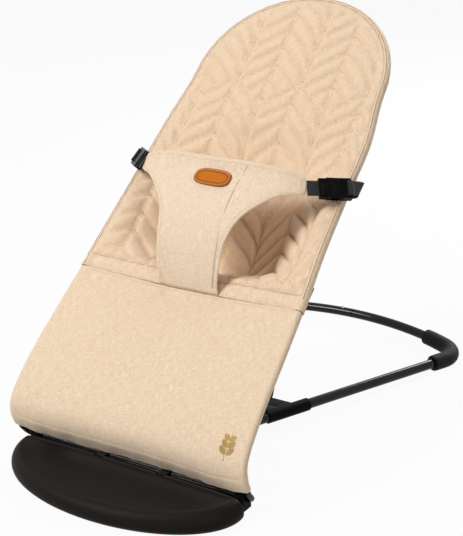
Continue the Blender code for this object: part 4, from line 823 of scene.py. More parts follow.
@dataclass
class LowerPanel:
    """The plain front cloth from hem to waist seam, with a tunnel for the wire at each side."""

    columns: int = 84
    wrap_steps: int = 12
    rows: int = 130
    hem_rows: int = 40
    hem_share: float = 0.14
    stitch_reach: float = 0.165
    sag: float = 0.005
    hem_level: float = 0.0014
    hem_lift: float = 0.0085
    hem_height: float = 0.021
    # Behind the wire: how far in from it, and the height off the wires' plane
    flange: tuple = ((0.005, -0.0053), (0.011, -0.0050), (0.016, -0.0046))

    def hem(self, x: Any) -> np.ndarray:
        """Gives where the hem's edge lies: nearly straight, and drawn up round the wires."""
        return self.hem_level + self.hem_lift * SEAT.outward(x, SEAT.half_width(0.0)) ** 7

    def height(self, x: np.ndarray, s: np.ndarray, start: np.ndarray) -> np.ndarray:
        """Gives the front's height off the wires' plane.

        Args:
            x: Metres across.
            s: Metres up the seat.
            start: Where the hem's edge lies at each x.

        Returns:
            Heights in metres.
        """
        free = 1 - SEAT.outward(x, SEAT.half_width(s)) ** 2
        h = SEAT.tunnel_radius - self.sag * free - SEAT.waist_sag(x, s)
        # The folded hem stands proud up to its stitches, which draw a groove
        from_hem, to_waist = s - start, SEAT.waist - s
        h = h + 0.0006 * ease(1 - (from_hem - self.hem_height) / 0.002) * free
        h = h - 0.0007 * bell(from_hem - self.hem_height, 0.0016) * ease(free * 4)
        # Upright creases fade from both seams, and slow waves cross the middle
        h = h + 0.0010 * ripples(x * 3.2, s, 0.07, 4) * np.exp(-from_hem / 0.03) * ease(free * 3)
        h = h + 0.0007 * ripples(x * 3, s * 0.7, 0.05, 9) * np.exp(-to_waist / 0.016) * ease(free * 3)
        return h + 0.0012 * ripples(x, s * 0.7, 0.16, 2) * ease(free * 2) * ease(to_waist / 0.03)

    def build(self) -> None:
        """Builds the panel and its hem stitches."""
        # The rows lie closer together at the hem
        top, dense = SEAT.waist - GAP, self.hem_share
        share = dense + (1 - dense) * np.linspace(0, 1, self.rows)
        share = np.concatenate([np.linspace(0, dense, self.hem_rows)[:-1], share])[:, None]
        across = np.linspace(-1, 1, self.columns)
        lowest = self.hem_level + self.hem_lift
        rough_s = lowest + (top - lowest) * share
        start = self.hem(across * SEAT.half_width(0.0))
        s = start + (top - start) * share
        x = across * SEAT.half_width(s)
        front = SEAT.point(x, s, self.height(x, s, start))
        angles = np.linspace(math.pi / 2, -math.pi / 2, self.wrap_steps)[1:]
        inward, behind = np.array(self.flange).T
        h = np.concatenate([SEAT.tunnel_radius * np.sin(angles), behind])
        edge_x = SEAT.half_width(rough_s) + np.concatenate([SEAT.tunnel_radius * np.cos(angles), -inward])
        right, left = SEAT.point(edge_x, rough_s, h), SEAT.point(-edge_x, rough_s, h)[:, ::-1]
        points = np.concatenate([left, front, right], axis=1)
        girth = lengths_along(points[60])
        uv = np.stack(np.broadcast_arrays((girth - girth[-1] / 2)[None, :], rough_s), -1)
        panel = cloth_sheet("lower_panel", points, uv, PANEL_CLOTH, "cover_lower_panel")
        wide = 2 * float(SEAT.half_width(0.1)) + 2 * (self.flange[-1][0] + math.pi * SEAT.tunnel_radius)
        line_x = np.linspace(-self.stitch_reach, self.stitch_reach, 150)
        line_start = self.hem(line_x)
        line_s = line_start + self.hem_height
        hem = SEAT.point(line_x, line_s, self.height(line_x, line_s, line_start) + STITCH_LIFT)
        STITCHES.sew("hem_stitches", [hem], SAND_THREAD)


LOWER_PANEL = LowerPanel()


@dataclass
class Quilting:
    """The leaf pattern of the quilting: slanting channels in columns, mirrored from one to the next.

    The slant changes over at a zigzag every five channels, so that the leaves meet in lozenges.
    """

    seam_x: float = 0.026
    column: float = 0.050
    pitch: float = 0.028
    rise: float = 0.055
    first_turn: float = 0.568
    turn_every: float = 0.140
    turn_count: int = 4
    top_offset: float = 0.006
    tip_share: float = 0.30
    tip_reach: float = 0.08
    puff: float = 0.0062
    puff_reach: float = 0.0105
    fullness: float = 0.65
    seam_reach: float = 0.0030

    def __post_init__(self) -> None:
        """Works out where each block's channels are counted from, from the top block down."""
        turns = [self.first_turn - self.turn_every * k for k in range(self.turn_count)]
        self.starts = [self.first_turn + self.top_offset] + [turn - self.climb(1.0) for turn in turns]

    def climb(self, share: np.ndarray | float) -> np.ndarray:
        """Gives how far a channel's edge has climbed, a share of the way from the low seam to the high one."""
        tip = 1 - np.exp(-np.asarray(share) / self.tip_reach)
        return self.rise * (self.tip_share * tip + (1 - self.tip_share) * share)

    def steepness(self, share: np.ndarray) -> np.ndarray:
        """Gives the slope of a channel's edge, climb for each metre across."""
        tip = np.exp(-np.asarray(share) / self.tip_reach) / self.tip_reach
        return self.rise * (self.tip_share * tip + 1 - self.tip_share) / self.column

    def shares(self, x: np.ndarray) -> tuple[np.ndarray, np.ndarray]:
        """Gives the share from the low seam to the high one, for even blocks and for odd ones."""
        place = (np.asarray(x, float) - self.seam_x) / self.column
        wave = 1 - abs((place % 2) - 1)
        return wave, 1 - wave

    def turn_line(self, k: int, x: np.ndarray) -> np.ndarray:
        """Gives the zigzag between block k and block k + 1, which follows the lower block's channels."""
        return self.starts[k + 1] + self.climb(self.shares(x)[(k + 1) % 2])

    def block(self, x: np.ndarray, s: np.ndarray) -> np.ndarray:
        """Gives which block each place lies in, 0 at the top."""
        found = np.zeros(np.broadcast(x, s).shape, int)
        for k in range(self.turn_count):
            found = np.where(s < self.turn_line(k, x), k + 1, found)
        return found

    def phase(self, x: np.ndarray, s: np.ndarray, k: int) -> np.ndarray:
        """Gives the count of channels up to each place, in the pattern of block k."""
        return (s - self.starts[k] - self.climb(self.shares(x)[k % 2])) / self.pitch

    def height(self, x: np.ndarray, s: np.ndarray) -> np.ndarray:
        """Gives how far the wadding swells each place.

        Args:
            x: Metres across.
            s: Metres up the seat.

        Returns:
            Heights in metres, 0 on the stitch lines.
        """
        x, s = np.broadcast_arrays(np.asarray(x, float), np.asarray(s, float))
        block = self.block(x, s)
        reach = np.full(x.shape, self.puff_reach)
        for k in range(self.turn_count + 1):
            count = self.phase(x, s, k)
            part = count - np.floor(count)
            lean, other = (np.hypot(1, self.steepness(self.shares(x)[n % 2])) for n in (k, k + 1))
            here = self.pitch * np.minimum(part, 1 - part) / lean
            if k < self.turn_count:
                here = np.minimum(here, abs(s - self.turn_line(k, x)) / other)
            reach = np.where(block == k, here, reach)
        place = (x - self.seam_x) / self.column
        seam = abs(place - np.round(place)) * self.column
        swell = (1 - (1 - np.clip(reach / self.puff_reach, 0, 1)) ** 2) ** self.fullness
        return self.puff * swell * (1 - np.exp(-seam / self.seam_reach))

    def lines(self, low: float, high: float, wide: float) -> list[np.ndarray]:
        """Gives the stitch lines as rows of (x, s).

        Args:
            low: The lowest s.
            high: The highest s.
            wide: The largest x.

        Returns:
            One array for each line, seams first.
        """
        found = []
        first = math.ceil((-wide - self.seam_x) / self.column)
        last = math.floor((wide - self.seam_x) / self.column)
        for number in range(first, last + 1):
            x = self.seam_x + number * self.column
            found.append(np.stack([np.full(200, x), np.linspace(low, high, 200)], -1))
        for number in range(first - 1, last + 1):
            x = self.seam_x + (number + np.linspace(0, 1, 41)) * self.column
            # The ends stay just inside the column, where the share is its own
            x[0] += 1e-7
            x[-1] -= 1e-7
            for k in range(self.turn_count + 1):
                # More channels than any block holds; those outside it are left out
                for count in range(-9, 9):
                    s = self.starts[k] + count * self.pitch + self.climb(self.shares(x)[k % 2])
                    kept = (self.block(x, s - 1e-6) == k) | (self.block(x, s + 1e-6) == k)
                    inside = kept & (abs(x) < wide) & (s > low) & (s < high)
                    found += [np.stack([x[run], s[run]], -1) for run in runs(inside, 3)]
        return found


@dataclass
class QuiltedBack:
    """The wadded layer that the child lies on, from the plain waist band to the rounded top."""

    quilting: Quilting = field(default_factory=Quilting)
    band: float = 0.020
    inset: float = 0.0004
    level: float = 0.0016
    crown: float = 0.0015
    wadding: float = 0.0030
    over_wire: float = 0.0062
    pocket_puff: float = 0.7
    flat_edge: float = 0.0045
    edge_rise: float = 0.014
    band_rise: float = 0.012
    spacing: float = 0.0031
    reach: float = 0.17
    cell: float = 0.004
    clear: float = 0.62

    def outline(self) -> np.ndarray:
        """Gives the pad's flat outline as rows of (x, s), once round."""
        start = SEAT.waist + self.band
        straight = np.arange(start, SEAT.round_start, self.spacing)
        right = np.stack([SEAT.inner_width(straight, self.inset), straight], -1)
        angle = np.linspace(0, math.pi / 2, 72)
        wide = SEAT.top_half_width - self.inset
        tall = SEAT.length - self.inset - SEAT.round_start
        top = np.stack([wide * np.cos(angle), SEAT.round_start + tall * np.sin(angle)], -1)
        half = np.concatenate([right, top])
        left = half[:-1][::-1] * (-1, 1)
        bottom_x = np.arange(-right[0, 0] + self.spacing, right[0, 0] - self.spacing / 2, self.spacing)
        bottom = np.stack([bottom_x, np.full(len(bottom_x), start)], -1)
        return np.concatenate([half, left, bottom])

    def flat_mesh(self) -> tuple[np.ndarray, np.ndarray, np.ndarray]:
        """Cuts the pad flat, with an edge along each stitch line and even triangles between them.

        Returns:
            Points (x, s), triangles, and how far the wadding swells each point.
        """
        rim = self.outline()
        points = [tuple(p) for p in rim]
        edges = [(i, (i + 1) % len(rim)) for i in range(len(rim))]
        low, high = SEAT.waist + self.band + 0.002, SEAT.length - self.inset - 0.002
        sewn = []
        for line in self.quilting.lines(low, high, self.reach):
            gone = lengths_along(line)
            at = np.linspace(0, gone[-1], max(int(gone[-1] / self.spacing), 2) + 1)
            row = np.stack([np.interp(at, gone, line[:, 0]), np.interp(at, gone, line[:, 1])], -1)
            for run in runs(SEAT.edge_distance(row[:, 0], row[:, 1], self.inset) > 0.0025, 2):
                first = len(points)
                points += [tuple(p) for p in row[run]]
                edges += [(i, i + 1) for i in range(first, len(points) - 1)]
                sewn.append(row[run])
        across = np.arange(-self.reach, self.reach, self.spacing)
        up = np.arange(low, high, self.spacing * 0.866)
        grid = np.stack(np.meshgrid(across, up), -1)
        grid[1::2, :, 0] += self.spacing / 2
        grid = grid.reshape(-1, 2)
        grid = grid[SEAT.edge_distance(grid[:, 0], grid[:, 1], self.inset) > self.spacing * 0.7]
        cells = defaultdict(list)
        for p in np.concatenate(sewn):
            cells[(p[0] // self.cell, p[1] // self.cell)].append(p)
        for p in grid:
            cx, cy = p // self.cell
            near = [q for i in (-1, 0, 1) for j in (-1, 0, 1) for q in cells.get((cx + i, cy + j), ())]
            # A point too near a stitch line would make a thin triangle
            if all((p[0] - q[0]) ** 2 + (p[1] - q[1]) ** 2 > (self.spacing * self.clear) ** 2 for q in near):
                points.append(tuple(p))
        made = delaunay_2d_cdt([Vector(p) for p in points], edges, [], 1, 1e-6)
        flat = np.array([tuple(p) for p in made[0]])
        faces = np.array([f for f in made[2] if len(f) == 3])
        return flat, faces, self.quilting.height(flat[:, 0], flat[:, 1])

    def build(self) -> None:
        """Builds the pad and the stitches in its channels."""
        flat, faces, swell = self.flat_mesh()
        x, s = flat[:, 0], flat[:, 1]
        from_wire = SEAT.edge_distance(x, s, 0.0)
        from_band = s - SEAT.waist - self.band
        inside = quarter((from_wire - self.flat_edge) / self.edge_rise) * quarter(from_band / self.band_rise)
        hump = (self.over_wire - self.level) * bell(from_wire, WIRE_HUMP)
        # Slack wadding puffs up most where the pocket is deepest
        swell = swell * (1 + self.pocket_puff * SEAT.pocket(x, s) / SEAT.pocket_depth)
        front = SEAT.cover(x, s, self.level + hump + (self.crown + swell) * inside)
        back = SEAT.cover(x, s, self.level + hump - self.wadding * (0.25 + 0.75 * inside))
        count = len(flat)
        borders = {edge: None for a, b, c in faces.tolist() for edge in ((a, b), (b, c), (c, a))}
        sides = [(b, a, a + count, b + count) for a, b in borders if (b, a) not in borders]
        mesh = bpy.data.meshes.new("quilted_back")
        layers = faces.tolist() + (faces[:, ::-1] + count).tolist()
        mesh.from_pydata(np.concatenate([front, back]).tolist(), [], layers + sides)
        set_uv(mesh, np.concatenate([flat, flat]))
        mesh.shade_smooth()
        pad = seat_on(link("quilted_back", mesh), QUILT_CLOTH, Body.SEAT, "quilted_pad")
        rows = []
        for line in self.quilting.lines(SEAT.waist + self.band + 0.004, SEAT.length - 0.008, self.reach):
            for run in runs(SEAT.edge_distance(line[:, 0], line[:, 1], self.inset) > 0.006, 3):
                rows.append(SEAT.cover(*line[run].T, self.level + self.crown + 0.00005))
        STITCHES.sew("quilting_stitches", rows, QUILT_THREAD, step=0.0042, length=0.0031, size=0.0009)


@dataclass
class FrameTunnel:
    """The bound edge of the back: cloth folded round the wire from the waist over the top."""

    straight_steps: int = 120
    round_steps: int = 70
    flange: tuple = (0.003, 0.0055, 0.0078)
    slope_reach: float = 0.004
    pucker: float = 0.00035
    pucker_every: float = 0.0035
    pucker_reach: float = 0.003

    def places(self) -> tuple[np.ndarray, np.ndarray, np.ndarray]:
        """Gives places on the right wire from the waist to the middle of the top.

        Returns:
            Half widths, lengths, and the directions away from the seat's middle.
        """
        s = np.linspace(SEAT.waist + 0.0001, SEAT.round_start, self.straight_steps, endpoint=False)
        near, far = s - self.slope_reach, np.minimum(s + self.slope_reach, SEAT.round_start)
        slope = (SEAT.half_width(far) - SEAT.half_width(near)) / (2 * self.slope_reach)
        straight = np.stack([np.ones_like(s), -slope], -1)
        angle = np.linspace(0, math.pi / 2, self.round_steps)
        tall = SEAT.length - SEAT.round_start
        round_s = SEAT.round_start + tall * np.sin(angle)
        rounded = np.stack([np.cos(angle) / SEAT.top_half_width, np.sin(angle) / tall], -1)
        out = np.concatenate([straight, rounded])
        out /= np.linalg.norm(out, axis=1)[:, None]
        s = np.concatenate([s, round_s])
        x = np.concatenate([SEAT.half_width(s[: self.straight_steps]), SEAT.top_half_width * np.cos(angle)])
        return x, s, out

    def strip(self, outward: Any, h: Any) -> np.ndarray:
        """Places points beside the wire, from the left waist over the top to the right waist.

        Args:
            outward: Metres away from the seat's middle, one for each column.
            h: Metres off the wires' plane, one for each column.

        Returns:
            Rows of points along the wire by columns.
        """
        x, s, out = self.places()
        px = x[:, None] + out[:, :1] * outward
        ps = s[:, None] + out[:, 1:] * outward
        return np.concatenate([SEAT.point(-px, ps, h)[:-1], SEAT.point(px, ps, h)[::-1]])

    def build(self) -> None:
        """Builds the binding, the seam beside it and its thread."""
        radius = SEAT.tunnel_radius
        angles = np.linspace(math.radians(92), -math.pi / 2, 18)
        outward = np.concatenate([radius * np.cos(angles), -np.array(self.flange)])
        h = np.concatenate([radius * np.sin(angles), [-radius] * len(self.flange)])
        points = self.strip(outward, h)
        along, over = lengths_along(points[:, 8]), lengths_along(points[60])
        waves = self.pucker * np.sin(along / self.pucker_every)
        puckers = waves[:, None] * np.exp(-over / self.pucker_reach)[None, :]
        points[..., 1] -= puckers
        points[..., 2] += puckers
        uv = np.stack(np.broadcast_arrays(over[None, :], along[:, None]), -1)
        tunnel = cloth_sheet("frame_tunnel", points, uv, PANEL_CLOTH, "cover_frame_tunnel")
        # The edge seam's stitches are real, but their dark rust colour is painted shade for the seam's shadow gap
        seam = self.strip(0.0027, radius + 0.0009)[:, 0]
        STITCHES.sew("edge_seam_stitches", [seam[6:-6]], RUST_THREAD, step=0.0026, size=0.0010)


@dataclass
class BackSling:
    """The plain cloth behind the quilting, sewn into the tunnel and hanging in a pocket."""

    level: float = -0.0018
    slack: float = 0.006
    fold: float = 0.0012
    columns: int = 90
    rows: int = 150

    def build(self) -> None:
        """Builds the sling as a dense sheet with soft folds."""
        start, end = SEAT.waist + GAP, SEAT.length - SEAT.sling_inset
        rounded = SEAT.round_start + (end - SEAT.round_start) * np.sin(np.linspace(0, math.pi / 2, 50))
        s = np.concatenate([np.linspace(start, SEAT.round_start, self.rows), rounded[1:]])
        a, ss = np.meshgrid(np.linspace(-1, 1, self.columns), s)
        x = a * SEAT.inner_width(ss, SEAT.sling_inset)
        free = np.clip((0.93 - abs(a)) * 5, 0, 1)
        free = free * np.clip((ss - start) / 0.02, 0, 1) * np.clip((end - ss) / 0.03, 0, 1)
        folds = self.fold * ripples(x * 1.5, ss, 0.05, 11) * free
        points = SEAT.cover(x, ss, self.level - self.slack * free - abs(folds))
        sling = cloth_sheet("back_sling", points, np.stack([x, ss], -1), BACK_CLOTH, "cover_back_sling")


@dataclass
class WaistBand:
    """The plain strip between the waist seam and the quilting, gathered where the pocket starts."""

    height: float = 0.0225
    level: float = -0.0002
    over_wire: float = 0.0060
    seam_inset: float = 0.004
    stitch_reach: float = 0.150
    puff: float = 0.0034
    gather: float = 0.0007
    gather_every: float = 0.0021

    def build(self) -> None:
        """Builds the band with its gathers, and the waist seam's stitches."""
        a, v = np.meshgrid(np.linspace(-1, 1, 260), np.linspace(0, 1, 22))
        s = SEAT.waist + 2 * GAP + (self.height - 0.001) * v
        x = a * SEAT.half_width(s)
        free = ease((1 - abs(a)) * 8)
        puff = self.puff * np.sin(v * math.pi) ** 0.8 * free
        wander = 1.4 * ripples(x, s * 0.2, 0.03, 5)
        gathers = self.gather * np.sin(x / self.gather_every + wander) * v * free
        hump = (self.over_wire - self.level) * bell(SEAT.edge_distance(x, s, 0.0), WIRE_HUMP)
        points = SEAT.cover(x, s, self.level + hump + puff + gathers)
        band = cloth_sheet("waist_band", points, np.stack([x, s], -1), PANEL_CLOTH, "cover_waist_band")
        wide = 2 * float(SEAT.half_width(SEAT.waist))
        line = np.linspace(-self.stitch_reach, self.stitch_reach, 140)
        level = np.full_like(line, SEAT.waist - self.seam_inset)
        height = LOWER_PANEL.height(line, level, np.zeros_like(line))
        STITCHES.sew("waist_seam_stitches", [SEAT.point(line, level, height + STITCH_LIFT)], SAND_THREAD)


@dataclass
class RestraintPanel:
    """The T-shaped panel that holds the child, with its topstitched seam."""

    # Above the waist seam, half the width, and height off the wires' plane
    shape: tuple = (
        (0.0015, 0.0448, 0.0016),
        (0.008, 0.0446, 0.0115),
        (0.018, 0.0460, 0.0220),
        (0.031, 0.0476, 0.0318),
        (0.0515, 0.0501, 0.0425),
        (0.0746, 0.0561, 0.0485),
        (0.090, 0.0640, 0.0508),
        (0.1056, 0.0769, 0.052),
        (0.1254, 0.0985, 0.0535),
        (0.1388, 0.1213, 0.0535),
        (0.1484, 0.1226, 0.056),
        (0.1592, 0.1205, 0.0625),
    )
    thickness: float = 0.004
    ear_drop: float = 0.3
    corner: float = 0.006
    turned_edge: float = 0.004
    fold: float = 0.0010
    crease: float = 0.0008
    stitch_inset: float = 0.005
    # The long seam: above the waist seam, and its place across
    seam: tuple = (
        (0.0, 0.037),
        (0.022, 0.0403),
        (0.044, 0.0414),
        (0.063, 0.0397),
        (0.083, 0.0378),
        (0.105, 0.0368),
        (0.127, 0.0372),
        (0.146, 0.0405),
        (0.160, 0.0454),
    )
    rows: int = 120
    columns: int = 110

    def __post_init__(self) -> None:
        """Smooths the outline once."""
        self.curve = smooth_curve(self.shape, 12)
        self.low, self.top = self.shape[0][0], self.shape[-1][0]
        self.reach = max(row[1] for row in self.shape)

    def half_width(self, rise: Any) -> np.ndarray:
        """Gives half the panel's width at heights above the waist seam."""
        return np.interp(rise, self.curve[:, 0], self.curve[:, 1])

    def point(self, x: Any, rise: Any, above: Any = 0.0) -> np.ndarray:
        """Places points on the panel's middle layer, or above it."""
        x, rise = np.asarray(x, float), np.asarray(rise, float)
        s = SEAT.waist + rise
        arch = 1 - self.ear_drop * (abs(x) / self.reach) ** 5
        height = np.interp(rise, self.curve[:, 0], self.curve[:, 2])
        return SEAT.point(x, s, height * arch - SEAT.waist_sag(x, s) + np.asarray(above))

    def edge_width(self, rise: np.ndarray) -> np.ndarray:
        """Gives the half width with the wings' corners rounded."""
        drop = np.clip((rise - (self.top - self.corner)) / self.corner, 0, 1)
        return self.half_width(rise) - self.corner * (1 - np.sqrt(1 - drop**2)) * 0.8

    def build(self) -> None:
        """Builds the panel as two layers closed at a turned edge, and its topstitching."""
        rise = np.linspace(self.low, self.top, self.rows)
        most = math.pi / 2 * 0.96
        u = np.sin(np.linspace(-most, most, self.columns)) / math.sin(most)
        uu, rr = np.meshgrid(u, rise)
        wide = self.edge_width(rr)
        x = uu * wide
        edge = np.minimum((1 - abs(uu)) * wide, self.top - rr)
        half = self.thickness / 2 * (0.35 + 0.65 * quarter(edge / self.turned_edge))
        fold = self.fold * ripples(x, rr, 0.07, 21) * ease(edge / 0.02)
        crease = -self.crease * bell(x - self.seam_x(rr), 0.0015)
        front = self.point(x, rr, half + fold + crease)
        back = self.point(x, rr, -half + fold)
        ring = np.concatenate([front, back[:, ::-1]], axis=1)
        uv = np.stack([x, rr], -1)
        panel = grid_mesh("restraint_panel_cloth", ring, np.concatenate([uv, uv[:, ::-1]], axis=1), around=True)
        with edited(panel.data) as bm:
            self.close_rows(bm, ring.shape[1])
        seat_on(panel, CHEST_CLOTH, Body.SEAT, "restraint_panel")
        self.topstitch()

    def close_rows(self, bm: bmesh.types.BMesh, around: int) -> None:
        """Joins the front and back layers along the bottom and the top rows.

        Args:
            bm: The panel.
            around: How many points a row has, front and back.
        """
        bm.verts.ensure_lookup_table()
        half = around // 2
        last = len(bm.verts) - around
        for i in range(half - 1):
            j = around - 1 - i
            bm.faces.new([bm.verts[k] for k in (i + 1, i, j, j - 1)])
            bm.faces.new([bm.verts[last + k] for k in (i, i + 1, j - 1, j)])

    def seam_x(self, rise: Any) -> np.ndarray:
        """Gives where the panel's long seam runs, from the chest to the stem's right side."""
        return np.interp(rise, *np.array(self.seam).T)

    def topstitch(self) -> None:
        """Sews the panel's outline and its long seam."""
        level, count = self.top - self.stitch_inset, 120
        rise = np.linspace(0.006, level, count)
        above = self.thickness / 2 + STITCH_LIFT
        lines = [self.point(side * (self.edge_width(rise) - 0.0048), rise, above) for side in SIDES.values()]
        across = np.linspace(-1, 1, count) * (self.edge_width(np.array(level)) - self.stitch_inset)
        lines.append(self.point(across, np.full(count, level), above))
        STITCHES.sew("panel_edge_stitches", lines, SAND_THREAD, step=0.003, length=0.0022, size=0.0005)
        seam = self.point(self.seam_x(rise), rise, self.thickness / 2 - 0.0004)
        STITCHES.sew("panel_seam_stitches", [seam], RUST_THREAD, step=0.0024, length=0.0020)


RESTRAINT = RestraintPanel()


@dataclass
class LeatherPatch:
    """A bare leather patch with rounded ends, a pressed line inside its edge, and stitches round it."""

    wide: float = 0.053
    tall: float = 0.024
    level: float = 0.1315
    thickness: float = 0.0016
    groove_inset: float = 0.0040
    groove_depth: float = 0.0005
    groove_reach: float = 0.00055
    stitch_inset: float = 0.0019
    # How dark the cut edge is, how dark the top starts, and how far inwards that fades
    cut_dark: float = 0.45
    rim_dark: float = 0.35
    rim_fade: float = 0.0012
    bevel: float = 0.0004
    power: float = 2 / 3
    rings: int = 26
    count: int = 96

    def outline(self, inset: Any, angle: np.ndarray) -> tuple[np.ndarray, np.ndarray]:
        """Gives a rounded outline drawn in by an inset, as x and height from the patch's middle."""
        across, up = (np.sign(part) * abs(part) ** self.power for part in (np.cos(angle), np.sin(angle)))
        return (self.wide / 2 - inset) * across, (self.tall / 2 - inset) * up

    def build(self) -> None:
        """Builds the patch on the restraint panel's chest, and its stitches."""
        base = RESTRAINT.thickness / 2 + 2 * GAP
        angle = np.linspace(0, math.tau, self.count, endpoint=False)
        insets = np.concatenate([[0, 0, self.bevel], np.linspace(0.0009, self.tall / 2 - 0.0002, self.rings)])
        rows, pressed = [], []
        for number, inset in enumerate(insets):
            x, up = self.outline(inset, angle)
            groove = float(bell(inset - self.groove_inset, self.groove_reach))
            above = (0, self.thickness - self.bevel, self.thickness - self.groove_depth * groove)[min(number, 2)]
            rows.append(RESTRAINT.point(x, self.level + up, np.full(self.count, base + above)))
            edge = self.cut_dark if inset <= self.bevel else self.rim_dark * math.exp(-inset / self.rim_fade)
            pressed.append(np.full(self.count, max(edge, 0.95 * groove)))
        patch = grid_mesh("leather_patch_sewn", np.array(rows), around=True)
        attribute = patch.data.attributes.new("pressed", "FLOAT", "POINT")
        attribute.data.foreach_set("value", np.array(pressed, np.float32).ravel())
        with edited(patch.data) as bm:
            close_rims(bm)
        seat_on(patch, PATCH_LEATHER, Body.SEAT, "leather_patch")
        x, up = self.outline(self.stitch_inset, np.linspace(0, math.tau, 140))
        line = RESTRAINT.point(x, self.level + up, np.full(140, base + self.thickness + 0.0001))
        STITCHES.sew("patch_stitches", [line], SAND_THREAD, step=0.0026, length=0.0017, size=0.0005)


class StrapLine:
    """The straight run of one side's strap, from the panel's wing to the loop round the frame."""

    level = 0.148
    loop_level = 0.183
    loop_out = 0.0215

    def __init__(self, side: int) -> None:
        """Works out the strap's own directions, from its side: -1 for the left, 1 for the right."""
        self.station = SEAT.waist + self.loop_level
        self.edge_x = float(SEAT.half_width(self.station))
        x = side * (float(RESTRAINT.half_width(self.level)) + GAP)
        wing = Vector(RESTRAINT.point(x, self.level))
        end = Vector(SEAT.point(side * (self.edge_x + self.loop_out), self.station, 0.0005))
        along = (end - wing).normalized()
        climb = Vector(SEAT.point(0, self.station + 0.01)) - Vector(SEAT.point(0, self.station - 0.01))
        self.climb = climb.normalized()
        up = (climb - along * climb.dot(along)).normalized() * side
        self.frame = Matrix.Translation(wing) @ Matrix((along, up, along.cross(up))).transposed().to_4x4()

    def point(self, reach: float, across: float = 0.0, out: float = 0.0) -> Vector:
        """Places a point by its reach along the strap, across it, and out towards the child."""
        return self.frame @ Vector((reach, across, out))


@dataclass
class Straps:
    """Webbing on both sides: sewn to the panel's wings, and looped round the frame."""

    width: float = 0.020
    thickness: float = 0.0013
    plane: float = 0.0006
    plug_start: float = 0.0160
    plug_base: float = 0.0085
    socket_length: float = 0.0335
    slot_from_end: float = 0.0055
    # The fold through the buckle's slot: reach from the slot or the housing's end, and height off the strap's plane
    through_slot: tuple = ((0.0, -0.0050), (0.0, 0.0054), (0.0030, 0.0061))
    past_end: tuple = ((0.0010, 0.0056), (0.0026, 0.0036))
    # The turn round the frame: places outside the wire, and heights off its plane
    round_wire: tuple = (
        (0.0197, 0.0022),
        (0.0170, -0.0036),
        (0.0100, -0.0070),
        (0.0010, -0.0070),
        (-0.0070, -0.0064),
        (-0.0105, -0.0065),
    )
    steps: int = 5

    def webbing(self, name: str, middle: list[Vector], across: list[Vector], node: str) -> None:
        """Builds one strap from its middle line and its directions across.

        Args:
            name: The piece's name.
            middle: Points along the strap.
            across: The direction across at each point.
            node: The CAD node that it replaces.
        """
        line, way = np.array([tuple(p) for p in middle]), np.array([tuple(p) for p in across])
        v = np.linspace(-1, 1, 13) * self.width / 2
        points = line[:, None, :] + way[:, None, :] * v[None, :, None]
        uv = np.stack(np.broadcast_arrays(lengths_along(line)[:, None], v[None, :]), -1)
        strap = thicken(grid_mesh(name, points, uv), self.thickness * 0.85, 0)
        seat_on(strap, STRAP_WEBBING, Body.SEAT, node)

    def build(self) -> None:
        """Builds the four straps."""
        for word, side in SIDES.items():
            line = StrapLine(side)
            reach = np.linspace(0.0, self.plug_start + self.plug_base - 0.0012, 16)
            middle = [line.point(r, 0, self.plane + self.thickness / 2) for r in reach]
            up = [(line.point(0, 0.01) - line.point(0, 0)).normalized()] * len(middle)
            self.webbing(f"panel_webbing_{word}", middle, up, f"panel_strap_{word}")
            end = self.plug_start + self.plug_base + GAP + self.socket_length
            knots = [tuple(line.point(end - self.slot_from_end + r, 0, out)) for r, out in self.through_slot]
            knots += [tuple(line.point(end + r, 0, out)) for r, out in self.past_end]
            knots += [tuple(SEAT.point(side * (line.edge_x + out), line.station, h)) for out, h in self.round_wire]
            smooth = [Vector(p) for p in smooth_curve(knots, self.steps)]
            wing_up = (line.point(0, 0.01 * side) - line.point(0, 0)).normalized()
            turned = [float(ease(i / self.steps - 4)) for i in range(len(smooth))]
            across = [wing_up.lerp(line.climb, part).normalized() for part in turned]
            self.webbing(f"frame_webbing_{word}", smooth, across, f"frame_strap_{word}")


